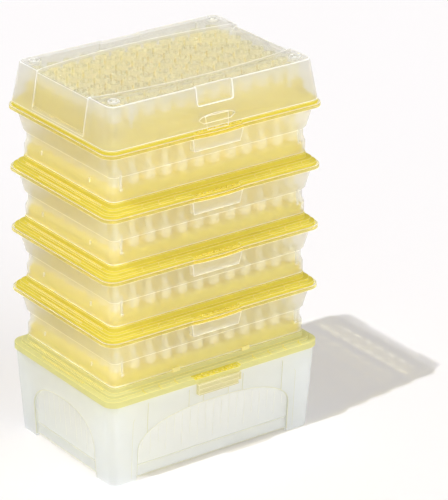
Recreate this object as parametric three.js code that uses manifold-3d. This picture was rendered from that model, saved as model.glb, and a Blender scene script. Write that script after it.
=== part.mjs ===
// A stack of pipette tip boxes: a base box with one rack plate, four refill trays that each carry
// a rack plate, and a lid that swings up from the back of the top tray. Every plate has holes for
// 96 tips on a 9 mm grid. The front row of tips in the top plate is modelled, one by one.
//
// Frame: millimetres, +X along the long side, -Y towards the front with the latch, +Z up. The
// origin lies under the middle of the base box, on the surface that it stands on.
//
// Each tier has its own group, whose origin is level with the lower edge of that tier's rim. A
// wall is a section of [out, z] points: out is the distance outwards from the edge of the deck
// that the tips stand in, and the section is swept around that deck's rounded rectangle.

import * as THREE from 'three';
import { mergeVertices } from 'three/addons/utils/BufferGeometryUtils.js';
import Module from 'manifold-3d';

const wasm = await Module();
wasm.setup();

// ---- Tips ----
const TIP_COLUMNS = 12;
const TIP_ROWS = 8;
const TIP_PITCH = 9;
const TIP_LENGTH = 50;
const TIP_SIDES = 6;
const TIP_COLLAR_HEIGHT = 6.5;
const TIP_COLLAR_STEP = 0.7; // how far the collar stands out from the body
const TIP_BODY_RADIUS = 2.5;
const TIP_WALL = 0.2;
const TIP_END_RADIUS = 0.55;
const TIP_END_WALL = 0.25;

// ---- Stack ----
const TRAY_COUNT = 4;
const BASE_HEIGHT = 42.4; // floor to the first rim
const TIER_PITCH = 30.6; // one rim to the next
const SEAT_GAP = 0.3; // between pieces that rest on or in each other
const CUT_MARGIN = 1; // how far a cut runs past the surface that it opens
const CUT_REACH = 15; // how far a cut through an upright wall runs outwards
const CORNER_STEPS = 3; // flats around one rounded corner
const AXIS = null; // marks a section point on the centre line

// ---- Rack plates ----
const PLATE_WALL = 1.2;
const DECK_MARGIN = 0.7; // outermost collars to the edge of the deck
const DECK_CORNER = 2.5; // corner radius at the edge of the deck
const CORNER_GROWTH = 0.5; // how fast the corner radius grows with the outline
const DECK_HEIGHT = 12.8;
const PLATFORM_DRAFT = 0.2;
const HOLE_CLEARANCE = 0.3; // around a tip in its hole
const SEAT_HEIGHT = 7.1; // the step that the next tray stands on
const STEP_HEIGHT = 4.8; // the step that centres the lid
const STEP_CLEARANCE = 0.6; // around the step, inside the lid
const LEDGE_HEIGHT = 3.2; // the ledge that the lid stands on
const NOTCH_WIDTH = 26; // in the ledge, at the middle of the front and the back
const NOTCH_DEPTH = 1;

// ---- Refill trays ----
const TRAY_WALL = 0.9;
const RIM_OUT = 7.4;
const LIP_HEIGHT = 2;
const FLANGE_WIDTH = 2.9; // lip to the top of the collar
const COLLAR_FOOT_OUT = 2.1;
const COLLAR_STEP = 1.5; // height of the step between collar and waist
const WAIST_HEIGHT = 3.6;
const BEAD_HEIGHT = 2.3; // height over which the waist widens to the skirt
const BEAD_LIFT = 0.2; // lower end of the bead above the deck that it surrounds
const SKIRT_CLEARANCE = 0.7; // inside the skirt, around the platform of the plate below
const HOUSING_WIDTH = 28; // latch housing, at the middle of the front and the back
const HOUSING_DROP = 6.8;
const HOUSING_INSET = 0.8; // lip to the face of the housing
const LIP_BULGE = 1.2; // how far the lip arches out over a latch housing
const BULGE_STEPS = 6;

// ---- Base box ----
const BASE_WALL = 1.2;
const BASE_SHOULDER = 0.7; // edge of the plate to the box's wall below it
const BASE_DRAFT = 2.8;
const BASE_CORNER = 5.9;
const BASE_CORNER_GROWTH = 0.6;
const RIM_BLEND = 2; // height over which the rim blends into the wall
const FLOOR_HEIGHT = 4.5;
const FOOT_HEIGHT = 1.3;
const FOOT_LENGTH = 13.5; // along each side, from the corner
const PAD_LENGTH = 10; // solid pad inside each foot
const PAD_INSET = 2.5;
const ARCH_DEPTH = 1.2;
const ARCH_SPRING = 16.5; // height where the arch starts to curve
const ARCH_CROWN = 31.5;
const ARCH_STEPS = 12;
const RIB_WALL = 0.8;
const RIB_DEPTH = 1.6;
const RIB_SHARES = [0.165, 0.355, 0.887]; // places along each half of a long wall's arch
const CATCH_WIDTH = 23;
const CATCH_HEIGHT = 5.6;
const CATCH_DEPTH = 2;

// ---- Lid ----
const LID_WALL = 1.2;
const LID_HEADROOM = 1; // from the tips to the underside of the channel
const LID_DRAFT = 3.3;
const LID_BEVEL = 0.8; // around the top
const CHANNEL_DEPTH = 1.2; // the broad channel over the top
const PANEL_DEPTH = 0.8; // the panels that carry the channel down both ends
const CHANNEL_END = 17.4; // width of the raised strip at the lid's ends
const CHANNEL_MIDDLE = 11.7; // width of the raised strip at the lid's middle
const CHANNEL_STEPS = 8;
const GRIP_WIDTH = 20; // finger recess, high on the front and the back
const GRIP_HEIGHT = 9;
const GRIP_CLEARANCE = 0.5; // inside the recess, beyond the edge of the deck
const EYE_WIDTH = 20; // oval recess behind each latch tab
const EYE_HEIGHT = 4.4;
const EYE_CLEARANCE = 0.4; // inside the oval, above the step that centres the lid
const EYE_DEPTH = 1;
const EYE_STEPS = 16;
const TAB_WIDTH = 12.7;
const TAB_WALL = 0.9;
const TAB_RISE = 5.5; // above the lid's lower edge
const NUB_RADIUS = 2.9; // round nubs on the top
const NUB_HEIGHT = 0.8;
const NUB_INSET = 6;
const NUB_SIDES = 16;

// ---- Sizes that follow from the ones above ----
const TIP_COLLAR_RADIUS = TIP_BODY_RADIUS + TIP_COLLAR_STEP;
const TIP_BORE_RADIUS = TIP_BODY_RADIUS - TIP_WALL;
const TIP_END_BORE_RADIUS = TIP_END_RADIUS - TIP_END_WALL;
const TIP_TOP = DECK_HEIGHT + SEAT_GAP + TIP_COLLAR_HEIGHT;
const DECK_HALF_LENGTH = ((TIP_COLUMNS - 1) * TIP_PITCH) / 2 + TIP_COLLAR_RADIUS + DECK_MARGIN;
const DECK_HALF_WIDTH = ((TIP_ROWS - 1) * TIP_PITCH) / 2 + TIP_COLLAR_RADIUS + DECK_MARGIN;
const HOLE_RADIUS = TIP_BODY_RADIUS + HOLE_CLEARANCE;
const PLATE_OUT = RIM_OUT - TRAY_WALL - SEAT_GAP; // a plate's edge inside a tray's lip
const PLATE_BOTTOM = TRAY_WALL + SEAT_GAP; // a plate's lower edge on a tray's flange
const NOTCH_FLOOR = LEDGE_HEIGHT - NOTCH_DEPTH;
const STEP_OUT = PLATE_OUT - LID_WALL - STEP_CLEARANCE; // the step's wall inside the lid's
const SKIRT_OUT = PLATFORM_DRAFT + SKIRT_CLEARANCE + TRAY_WALL;
const SEAT_OUT = SKIRT_OUT + SEAT_GAP;
const COLLAR_TOP_OUT = RIM_OUT - FLANGE_WIDTH;
const HOUSING_OUT = RIM_OUT - HOUSING_INSET;
const BASE_TOP_OUT = RIM_OUT - BASE_SHOULDER;
const BASE_FOOT_OUT = BASE_TOP_OUT - BASE_DRAFT;
const BASE_RIM_OUT = RIM_OUT - PLATE_WALL - SEAT_GAP;
const RIM_TUCK = LEDGE_HEIGHT - PLATE_WALL - SEAT_GAP; // the box's rim inside the plate's edge
const BASE_TILT = Math.atan(BASE_DRAFT / BASE_HEIGHT);
const LID_BOTTOM = LEDGE_HEIGHT + SEAT_GAP;
const LID_TOP = TIP_TOP + LID_HEADROOM + CHANNEL_DEPTH + LID_WALL;
const LID_HEIGHT = LID_TOP - LID_BOTTOM;
const LID_TOP_OUT = PLATE_OUT - LID_DRAFT;
const GRIP_DEPTH = LID_TOP_OUT - LID_WALL - GRIP_CLEARANCE;
const EYE_RISE = STEP_HEIGHT + EYE_CLEARANCE + EYE_HEIGHT / 2 - LID_BOTTOM;
const LID_TILT = Math.atan(LID_DRAFT / LID_HEIGHT);

// ---- Materials ----
const CLEAR_BASE = { color: 0xe6ece6, roughness: 0.35, metalness: 0 };
const FROSTED = { color: 0xeceadc, roughness: 0.45, metalness: 0 };
const YELLOW = { color: 0xebdc6a, roughness: 0.4, metalness: 0 };
const TIP_PLASTIC = { color: 0xf2f1e8, roughness: 0.3, metalness: 0 };

// ---- Solids ----

/** Turn a closed three.js geometry into a solid, whichever way its faces point. */
function toSolid(geometry) {
  geometry.deleteAttribute('normal');
  geometry.deleteAttribute('uv');
  const merged = mergeVertices(geometry);
  const corners = merged.index.array;
  const triangles = [];
  for (let i = 0; i < corners.length; i += 3) {
    const [a, b, c] = [corners[i], corners[i + 1], corners[i + 2]];
    if (a !== b && b !== c && c !== a) triangles.push(a, b, c);
  }
  if (signedVolume(merged.attributes.position, triangles) < 0) triangles.reverse();
  const mesh = new wasm.Mesh({
    numProp: 3,
    vertProperties: new Float32Array(merged.attributes.position.array),
    triVerts: new Uint32Array(triangles),
  });
  return new wasm.Manifold(mesh);
}

/** Volume of a triangle list, negative when its faces point inwards. */
function signedVolume(position, triangles) {
  const [a, b, c] = [new THREE.Vector3(), new THREE.Vector3(), new THREE.Vector3()];
  let volume = 0;
  for (let i = 0; i < triangles.length; i += 3) {
    a.fromBufferAttribute(position, triangles[i]);
    b.fromBufferAttribute(position, triangles[i + 1]);
    c.fromBufferAttribute(position, triangles[i + 2]);
    volume += a.dot(b.cross(c)) / 6;
  }
  return volume;
}

/** Turn a solid back into a geometry with flat-shaded faces. */
function toGeometry(solid) {
  const { vertProperties, triVerts } = solid.getMesh();
  const indexed = new THREE.BufferGeometry();
  indexed.setAttribute('position', new THREE.BufferAttribute(vertProperties, 3));
  indexed.setIndex(new THREE.BufferAttribute(triVerts, 1));
  const geometry = indexed.toNonIndexed();
  geometry.computeVertexNormals();
  return geometry;
}

/** Join several solids, or cut several solids from the first. */
const join = (first, ...others) => others.reduce((sum, other) => sum.add(other), first);
const cut = (first, ...others) => others.reduce((rest, other) => rest.subtract(other), first);

/** A box given by its low and high corners. */
function box(low, high) {
  const size = high.map((value, i) => value - low[i]);
  const middle = high.map((value, i) => (value + low[i]) / 2);
  return toSolid(new THREE.BoxGeometry(...size).translate(...middle));
}

/** Corner radius of the outline that lies a distance out from the edge of the deck. */
const plateCorner = (out) => DECK_CORNER + CORNER_GROWTH * out;
const baseCorner = (out) => BASE_CORNER + BASE_CORNER_GROWTH * (out - BASE_TOP_OUT);

/**
 * Sweep a section around the deck's rounded rectangle. The section starts and ends on the axis,
 * or closes on itself. A lathe makes the faces, and each of its columns is then moved out to its
 * place on the outline.
 */
function sweep(section, cornerAt = plateCorner) {
  const columns = 4 * (CORNER_STEPS + 1);
  const points = section.map(([, z]) => new THREE.Vector2(1, z));
  const geometry = new THREE.LatheGeometry(points, columns);
  const position = geometry.attributes.position;
  for (let i = 0; i < position.count; i += 1) {
    const column = Math.floor(i / section.length) % columns;
    const [out, z] = section[i % section.length];
    const [x, y] = out === AXIS ? [0, 0] : outlinePoint(column, out, cornerAt(out));
    position.setXYZ(i, x, y, z);
  }
  return toSolid(geometry);
}

/** The point of one column on the outline at a distance out from the deck's edge. */
function outlinePoint(column, out, radius) {
  const quarter = Math.floor(column / (CORNER_STEPS + 1));
  const step = column % (CORNER_STEPS + 1);
  const angle = (quarter + step / CORNER_STEPS) * (Math.PI / 2);
  const middle = (quarter + 0.5) * (Math.PI / 2);
  const x = Math.sign(Math.cos(middle)) * (DECK_HALF_LENGTH + out - radius);
  const y = Math.sign(Math.sin(middle)) * (DECK_HALF_WIDTH + out - radius);
  return [x + radius * Math.cos(angle), y + radius * Math.sin(angle)];
}

/**
 * Extrude an upright shape outwards through one side of the box. Its inner face leans outwards
 * by tilt and passes the bottom of the shape at a distance out from the deck's edge.
 */
function throughSide(shape, side, out, tilt, depth, height = 0) {
  const geometry = new THREE.ExtrudeGeometry(shape, { depth, bevelEnabled: false });
  const reach = (side % 2 === 0 ? DECK_HALF_WIDTH : DECK_HALF_LENGTH) + out;
  geometry.rotateX(Math.PI / 2 + tilt);
  geometry.translate(0, -reach, height);
  geometry.rotateZ((side * Math.PI) / 2);
  return toSolid(geometry);
}

/** The same solid at the front and, mirrored, at the back. */
const frontAndBack = (make) => [make(1), make(-1)];

/** A box at the front (facing 1) or the back (facing -1), between two distances out. */
function sideBox(facing, width, outLow, outHigh, low, high) {
  const near = -facing * (DECK_HALF_WIDTH + outLow);
  const far = -facing * (DECK_HALF_WIDTH + outHigh);
  const [lowY, highY] = [Math.min(near, far), Math.max(near, far)];
  return box([-width / 2, lowY, low], [width / 2, highY, high]);
}

// ---- Tips ----

const tipX = (column) => (column - (TIP_COLUMNS - 1) / 2) * TIP_PITCH;
const tipY = (row) => (row - (TIP_ROWS - 1) / 2) * TIP_PITCH;

/** A hollow tip whose collar stands on the deck. */
function tipSolid() {
  const collarFoot = TIP_TOP - TIP_COLLAR_HEIGHT;
  const end = TIP_TOP - TIP_LENGTH;
  const section = [
    [TIP_END_BORE_RADIUS, end],
    [TIP_END_RADIUS, end],
    [TIP_BODY_RADIUS, collarFoot],
    [TIP_COLLAR_RADIUS, collarFoot],
    [TIP_COLLAR_RADIUS, TIP_TOP],
    [TIP_BORE_RADIUS, TIP_TOP],
    [TIP_END_BORE_RADIUS, end],
  ];
  const points = section.map(([radius, z]) => new THREE.Vector2(radius, z));
  return toSolid(new THREE.LatheGeometry(points, TIP_SIDES).rotateX(Math.PI / 2));
}

// ---- Rack plates ----

/** Section of a plate, from the centre of the deck out to its edge and back underneath. */
function plateSection(edgeOut, bottom) {
  const inside = (out) => out - PLATE_WALL;
  const under = (height) => height - PLATE_WALL;
  return [
    [AXIS, DECK_HEIGHT],
    [0, DECK_HEIGHT],
    [PLATFORM_DRAFT, SEAT_HEIGHT],
    [SEAT_OUT, SEAT_HEIGHT],
    [SEAT_OUT, STEP_HEIGHT],
    [STEP_OUT, STEP_HEIGHT],
    [STEP_OUT, LEDGE_HEIGHT],
    [edgeOut, LEDGE_HEIGHT],
    [edgeOut, bottom],
    [inside(edgeOut), bottom],
    [inside(edgeOut), under(LEDGE_HEIGHT)],
    [inside(STEP_OUT), under(LEDGE_HEIGHT)],
    [inside(STEP_OUT), under(STEP_HEIGHT)],
    [inside(SEAT_OUT), under(STEP_HEIGHT)],
    [inside(SEAT_OUT), under(SEAT_HEIGHT)],
    [inside(PLATFORM_DRAFT), under(SEAT_HEIGHT)],
    [inside(0), under(DECK_HEIGHT)],
    [AXIS, under(DECK_HEIGHT)],
  ];
}

/** All 96 tip holes of one plate. */
function tipHoles() {
  const depth = PLATE_WALL + 2 * CUT_MARGIN;
  const middle = DECK_HEIGHT - PLATE_WALL / 2;
  const holes = [];
  for (let row = 0; row < TIP_ROWS; row += 1) {
    for (let column = 0; column < TIP_COLUMNS; column += 1) {
      const hole = new THREE.CylinderGeometry(HOLE_RADIUS, HOLE_RADIUS, depth, TIP_SIDES);
      hole.rotateX(Math.PI / 2);
      hole.translate(tipX(column), tipY(row), middle);
      holes.push(toSolid(hole));
    }
  }
  return holes;
}

/** A plate whose edge lies at edgeOut, with a shallow notch at the front and the back. */
function rackPlate(edgeOut, bottom) {
  const blank = sweep(plateSection(edgeOut, bottom));
  const inner = STEP_OUT - PLATE_WALL;
  const floors = frontAndBack((facing) =>
    sideBox(facing, NOTCH_WIDTH, inner, edgeOut, PLATE_BOTTOM, NOTCH_FLOOR));
  const cuts = frontAndBack((facing) =>
    sideBox(facing, NOTCH_WIDTH, STEP_OUT, edgeOut + CUT_MARGIN, NOTCH_FLOOR, STEP_HEIGHT));
  return cut(join(blank, ...floors), ...cuts, ...tipHoles());
}

// ---- Refill trays ----

/** Closed section of a tray: lip, flange, collar, waist, bead and skirt. */
function traySection() {
  const skirtBottom = SEAT_HEIGHT + SEAT_GAP - TIER_PITCH;
  const beadBottom = DECK_HEIGHT + BEAD_LIFT - TIER_PITCH;
  const waistBottom = beadBottom + BEAD_HEIGHT;
  const waistTop = waistBottom + WAIST_HEIGHT;
  const collarFoot = waistTop + COLLAR_STEP;
  const waistOut = TRAY_WALL;
  const inside = (out) => out - TRAY_WALL;
  return [
    [RIM_OUT, LIP_HEIGHT],
    [RIM_OUT, 0],
    [COLLAR_TOP_OUT, 0],
    [COLLAR_FOOT_OUT, collarFoot],
    [waistOut, waistTop],
    [waistOut, waistBottom],
    [SKIRT_OUT, beadBottom],
    [SKIRT_OUT, skirtBottom],
    [inside(SKIRT_OUT), skirtBottom],
    [inside(SKIRT_OUT), beadBottom],
    [inside(waistOut), waistBottom],
    [inside(waistOut), waistTop],
    [inside(COLLAR_FOOT_OUT), collarFoot],
    [inside(COLLAR_TOP_OUT), TRAY_WALL],
    [inside(RIM_OUT), TRAY_WALL],
    [inside(RIM_OUT), LIP_HEIGHT],
    [RIM_OUT, LIP_HEIGHT],
  ];
}

/** Flat shape of a lip's bulge: a straight inner edge and an arched outer one. */
function bulgeShape(width, bulge, inner) {
  const shape = new THREE.Shape();
  shape.moveTo(-width / 2, -inner);
  for (let i = 0; i <= BULGE_STEPS; i += 1) {
    const t = (2 * i) / BULGE_STEPS - 1;
    shape.lineTo((t * width) / 2, bulge * (1 - t * t));
  }
  shape.lineTo(width / 2, -inner);
  return shape;
}

/** The bulge at the front (facing 1) or the back (facing -1), between two heights. */
function bulgeSolid(facing, shape, low, high) {
  const geometry = new THREE.ExtrudeGeometry(shape, { depth: high - low, bevelEnabled: false });
  geometry.translate(0, DECK_HALF_WIDTH + RIM_OUT, low);
  if (facing > 0) geometry.rotateZ(Math.PI);
  return toSolid(geometry);
}

/** A refill tray, open at the top and the bottom, with a latch housing at the front and back. */
function refillTray() {
  const ring = sweep(traySection());
  const width = HOUSING_WIDTH;
  const narrow = HOUSING_WIDTH - 2 * TRAY_WALL;
  const inner = COLLAR_FOOT_OUT - TRAY_WALL;
  const lip = bulgeShape(width, LIP_BULGE, TRAY_WALL);
  const pocket = bulgeShape(narrow, LIP_BULGE, 2 * TRAY_WALL);
  const housings = frontAndBack((facing) =>
    sideBox(facing, width, COLLAR_FOOT_OUT, HOUSING_OUT, -HOUSING_DROP, TRAY_WALL / 2));
  const lips = frontAndBack((facing) => bulgeSolid(facing, lip, 0, LIP_HEIGHT));
  const rooms = frontAndBack((facing) =>
    sideBox(facing, narrow, inner, HOUSING_OUT - TRAY_WALL, TRAY_WALL - HOUSING_DROP, 0));
  const pockets = frontAndBack((facing) =>
    bulgeSolid(facing, pocket, TRAY_WALL, LIP_HEIGHT + CUT_MARGIN)
      .translate([0, facing * TRAY_WALL, 0]));
  return cut(join(ring, ...housings, ...lips), ...rooms, ...pockets);
}

// ---- Base box ----

/** Distance out of the base box's drafted wall at a height above the floor. */
const baseOut = (z) => BASE_FOOT_OUT + (BASE_DRAFT * z) / BASE_HEIGHT;

/** Height of an arch at a share of its half width from its middle. */
const archHeight = (share) =>
  ARCH_SPRING + (ARCH_CROWN - ARCH_SPRING) * Math.sqrt(1 - share ** 2);

/** Upright arch shape, grown all around by margin. */
function archShape(halfWidth, margin) {
  const shape = new THREE.Shape();
  shape.moveTo(-halfWidth - margin, -CUT_MARGIN);
  for (let i = 0; i <= ARCH_STEPS; i += 1) {
    const angle = Math.PI * (1 - i / ARCH_STEPS);
    const rise = (ARCH_CROWN - ARCH_SPRING + margin) * Math.sin(angle);
    shape.lineTo((halfWidth + margin) * Math.cos(angle), ARCH_SPRING + rise);
  }
  shape.lineTo(halfWidth + margin, -CUT_MARGIN);
  return shape;
}

/** Arched panels on the four sides: the cuts outside, or the same grown by the wall inside. */
function archPanels(margin) {
  return [0, 1, 2, 3].map((side) => {
    const half = side % 2 === 0 ? DECK_HALF_LENGTH : DECK_HALF_WIDTH;
    const halfWidth = half + BASE_FOOT_OUT - FOOT_LENGTH;
    const out = BASE_FOOT_OUT - ARCH_DEPTH - margin;
    return throughSide(archShape(halfWidth, margin), side, out, BASE_TILT, CUT_REACH);
  });
}

/** Cuts that leave the base box standing on its four corners. */
function footCuts() {
  const halfLength = DECK_HALF_LENGTH + BASE_FOOT_OUT - FOOT_LENGTH;
  const halfWidth = DECK_HALF_WIDTH + BASE_FOOT_OUT - FOOT_LENGTH;
  const reachX = DECK_HALF_LENGTH + RIM_OUT;
  const reachY = DECK_HALF_WIDTH + RIM_OUT;
  return [
    box([-halfLength, -reachY, -CUT_MARGIN], [halfLength, reachY, FOOT_HEIGHT]),
    box([-reachX, -halfWidth, -CUT_MARGIN], [reachX, halfWidth, FOOT_HEIGHT]),
  ];
}

/** Solid pads that fill the hollow inside the four feet. */
function footPads() {
  const highX = DECK_HALF_LENGTH + BASE_FOOT_OUT - PAD_INSET;
  const highY = DECK_HALF_WIDTH + BASE_FOOT_OUT - PAD_INSET;
  const pads = [];
  for (const x of [-highX, highX - PAD_LENGTH]) {
    for (const y of [-highY, highY - PAD_LENGTH]) {
      pads.push(box([x, y, 0], [x + PAD_LENGTH, y + PAD_LENGTH, FLOOR_HEIGHT + BASE_WALL / 2]));
    }
  }
  return pads;
}

/** Upright ribs inside the long walls, from the arch up to the rim. */
function baseRibs() {
  const halfWidth = DECK_HALF_LENGTH + BASE_FOOT_OUT - FOOT_LENGTH;
  const ribs = [];
  for (const share of RIB_SHARES) {
    const place = share * halfWidth;
    const low = archHeight(share) + BASE_WALL;
    const length = BASE_HEIGHT - RIM_BLEND - low;
    for (const x of [-place, place]) {
      for (const side of [0, 2]) {
        const shape = new THREE.Shape();
        shape.moveTo(x - RIB_WALL / 2, 0);
        shape.lineTo(x + RIB_WALL / 2, 0);
        shape.lineTo(x + RIB_WALL / 2, length);
        shape.lineTo(x - RIB_WALL / 2, length);
        const out = baseOut(low) - BASE_WALL - RIB_DEPTH;
        const depth = RIB_DEPTH + BASE_WALL / 2;
        ribs.push(throughSide(shape, side, out, BASE_TILT, depth, low));
      }
    }
  }
  return ribs;
}

/** The base box: drafted walls, a raised floor, feet, arches, ribs and latch catches. */
function baseBox() {
  const shoulder = BASE_HEIGHT - SEAT_GAP;
  const rimTop = BASE_HEIGHT + RIM_TUCK;
  const blend = shoulder - RIM_BLEND;
  const inside = (out) => out - BASE_WALL;
  const outer = sweep([
    [AXIS, 0],
    [baseOut(0), 0],
    [baseOut(shoulder), shoulder],
    [BASE_RIM_OUT, shoulder],
    [BASE_RIM_OUT, rimTop],
    [AXIS, rimTop],
  ], baseCorner);
  const room = sweep([
    [AXIS, FLOOR_HEIGHT + BASE_WALL],
    [inside(baseOut(FLOOR_HEIGHT)), FLOOR_HEIGHT + BASE_WALL],
    [inside(baseOut(blend - RIM_BLEND)), blend - RIM_BLEND],
    [inside(BASE_RIM_OUT), blend],
    [inside(BASE_RIM_OUT), rimTop + CUT_MARGIN],
    [AXIS, rimTop + CUT_MARGIN],
  ], baseCorner);
  const underside = sweep([
    [AXIS, -CUT_MARGIN],
    [inside(baseOut(0)), -CUT_MARGIN],
    [inside(baseOut(FLOOR_HEIGHT)), FLOOR_HEIGHT],
    [AXIS, FLOOR_HEIGHT],
  ], baseCorner);
  const grown = archPanels(BASE_WALL);
  const catchRoot = BASE_TOP_OUT - BASE_WALL / 2;
  const catchOut = BASE_TOP_OUT + CATCH_DEPTH;
  const catches = frontAndBack((facing) =>
    sideBox(facing, CATCH_WIDTH, catchRoot, catchOut, shoulder - CATCH_HEIGHT, shoulder));
  const notchWidth = NOTCH_WIDTH + 2 * SEAT_GAP;
  const notchRoot = BASE_RIM_OUT - 2 * BASE_WALL;
  const notchLow = BASE_HEIGHT + PLATE_BOTTOM - SEAT_GAP;
  const notches = frontAndBack((facing) =>
    sideBox(facing, notchWidth, notchRoot, BASE_RIM_OUT + CUT_MARGIN, notchLow, rimTop + CUT_MARGIN));
  const shell = cut(outer, ...archPanels(0), cut(room, ...grown), cut(underside, ...grown));
  const detailed = join(shell, ...footPads(), ...baseRibs(), ...catches);
  return cut(detailed, ...footCuts(), ...notches);
}

// ---- Lid ----

/** Flat shape of the channel across the top, between two strips that narrow in the middle. */
function channelShape(margin) {
  const halfLength = DECK_HALF_LENGTH + PLATE_OUT + CUT_MARGIN;
  const end = DECK_HALF_WIDTH + LID_TOP_OUT - CHANNEL_END + margin;
  const middle = DECK_HALF_WIDTH + LID_TOP_OUT - CHANNEL_MIDDLE + margin;
  const edge = (t) => end + (middle - end) * (1 - t * t);
  const shape = new THREE.Shape();
  for (let i = 0; i <= CHANNEL_STEPS; i += 1) {
    const t = (2 * i) / CHANNEL_STEPS - 1;
    const [x, y] = [t * halfLength, -edge(t)];
    if (i === 0) shape.moveTo(x, y);
    else shape.lineTo(x, y);
  }
  for (let i = CHANNEL_STEPS; i >= 0; i -= 1) {
    const t = (2 * i) / CHANNEL_STEPS - 1;
    shape.lineTo(t * halfLength, edge(t));
  }
  return shape;
}

/** Upright rectangle, centred on x and standing on z = 0. */
function uprightRectangle(width, height) {
  const shape = new THREE.Shape();
  shape.moveTo(-width / 2, 0);
  shape.lineTo(width / 2, 0);
  shape.lineTo(width / 2, height);
  shape.lineTo(-width / 2, height);
  return shape;
}

/** Upright oval with its middle at z = 0. */
function ovalShape(width, height) {
  const points = [];
  for (let i = 0; i < EYE_STEPS; i += 1) {
    const angle = (2 * Math.PI * i) / EYE_STEPS;
    points.push(new THREE.Vector2((width / 2) * Math.cos(angle), (height / 2) * Math.sin(angle)));
  }
  return new THREE.Shape(points);
}

/** Distance out of the lid's wall at a height above its lower edge. */
const lidOut = (rise) => PLATE_OUT - (LID_DRAFT * rise) / LID_HEIGHT;

/** The lid's recesses: cuts outside, or the same grown by the wall inside. */
function lidRecesses(margin) {
  const over = LID_HEIGHT + 2 * CUT_MARGIN;
  const topLow = LID_TOP - CHANNEL_DEPTH - margin;
  const channel = channelShape(margin);
  const top = new THREE.ExtrudeGeometry(channel, { depth: over, bevelEnabled: false });
  const recesses = [toSolid(top.translate(0, 0, topLow))];
  const endWidth = 2 * (DECK_HALF_WIDTH + LID_TOP_OUT - CHANNEL_END + margin);
  const panelLow = STEP_HEIGHT + SEAT_GAP + LID_WALL - margin;
  const panelOut = lidOut(panelLow - LID_BOTTOM) - PANEL_DEPTH - margin;
  for (const side of [1, 3]) {
    const panel = uprightRectangle(endWidth, over);
    recesses.push(throughSide(panel, side, panelOut, -LID_TILT, CUT_REACH, panelLow));
  }
  for (const side of [0, 2]) {
    const grip = uprightRectangle(GRIP_WIDTH + 2 * margin, over);
    const gripLow = LID_TOP - GRIP_HEIGHT - margin;
    const gripOut = LID_TOP_OUT - GRIP_DEPTH - margin;
    recesses.push(throughSide(grip, side, gripOut, 0, CUT_REACH, gripLow));
    const eye = ovalShape(EYE_WIDTH + 2 * margin, EYE_HEIGHT + margin);
    const eyeMiddle = LID_BOTTOM + EYE_RISE + margin / 2;
    const eyeOut = lidOut(EYE_RISE) - EYE_DEPTH - margin;
    recesses.push(throughSide(eye, side, eyeOut, -LID_TILT, CUT_REACH, eyeMiddle));
  }
  return recesses;
}

/** Round nubs near the four corners of the top. */
function lidNubs() {
  const nubs = [];
  for (const x of [-1, 1]) {
    for (const y of [-1, 1]) {
      const nub = new THREE.CylinderGeometry(NUB_RADIUS, NUB_RADIUS, 2 * NUB_HEIGHT, NUB_SIDES);
      nub.rotateX(Math.PI / 2);
      const placeX = x * (DECK_HALF_LENGTH + LID_TOP_OUT - NUB_INSET);
      const placeY = y * (DECK_HALF_WIDTH + LID_TOP_OUT - NUB_INSET);
      nubs.push(toSolid(nub.translate(placeX, placeY, LID_TOP)));
    }
  }
  return nubs;
}

/** The lid: drafted walls, a channel over the top, finger recesses, latch tabs and nubs. */
function lidSolid() {
  const inside = (out) => out - LID_WALL;
  const bevelStart = LID_HEIGHT - LID_BEVEL;
  const outer = sweep([
    [AXIS, LID_BOTTOM],
    [PLATE_OUT, LID_BOTTOM],
    [lidOut(bevelStart), LID_TOP - LID_BEVEL],
    [LID_TOP_OUT - LID_BEVEL, LID_TOP],
    [AXIS, LID_TOP],
  ]);
  const room = sweep([
    [AXIS, LID_BOTTOM - CUT_MARGIN],
    [inside(lidOut(-CUT_MARGIN)), LID_BOTTOM - CUT_MARGIN],
    [inside(lidOut(LID_HEIGHT - LID_WALL)), LID_TOP - LID_WALL],
    [AXIS, LID_TOP - LID_WALL],
  ]);
  const shell = cut(outer, ...lidRecesses(0), cut(room, ...lidRecesses(LID_WALL)));
  const tabOut = PLATE_OUT + SEAT_GAP;
  const tabLow = LIP_HEIGHT + SEAT_GAP;
  const tabTop = LID_BOTTOM + TAB_RISE;
  const tabs = frontAndBack((facing) =>
    sideBox(facing, TAB_WIDTH, tabOut, tabOut + TAB_WALL, tabLow, tabTop));
  const roots = frontAndBack((facing) =>
    sideBox(facing, TAB_WIDTH, PLATE_OUT - LID_WALL, tabOut, LID_BOTTOM, tabTop));
  return join(shell, ...tabs, ...roots, ...lidNubs());
}

// ---- The stack ----

const stack = new THREE.Group();

/** Put a named mesh into a group. */
function addPiece(group, name, geometry, look) {
  const mesh = new THREE.Mesh(geometry, new THREE.MeshStandardMaterial(look));
  mesh.name = name;
  group.add(mesh);
  return mesh;
}

const trayGeometry = toGeometry(refillTray());
const plateGeometry = toGeometry(rackPlate(PLATE_OUT, PLATE_BOTTOM));
const tipGeometry = toGeometry(tipSolid());

addPiece(stack, 'base_box', toGeometry(baseBox()), CLEAR_BASE);

for (let tier = 0; tier <= TRAY_COUNT; tier += 1) {
  const group = new THREE.Group();
  group.position.z = BASE_HEIGHT + tier * TIER_PITCH;
  stack.add(group);
  if (tier === 0) {
    addPiece(group, 'base_rack_plate', toGeometry(rackPlate(RIM_OUT, 0)), YELLOW);
  } else {
    addPiece(group, `refill_tray_${tier}`, trayGeometry, FROSTED);
    addPiece(group, `rack_plate_${tier}`, plateGeometry, YELLOW);
  }
  if (tier === TRAY_COUNT) {
    addPiece(group, 'lid', toGeometry(lidSolid()), FROSTED);
    for (let column = 0; column < TIP_COLUMNS; column += 1) {
      const tip = addPiece(group, `tip_${column + 1}`, tipGeometry, TIP_PLASTIC);
      tip.position.set(tipX(column), tipY(0), 0);
    }
  }
}

export default stack;
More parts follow.
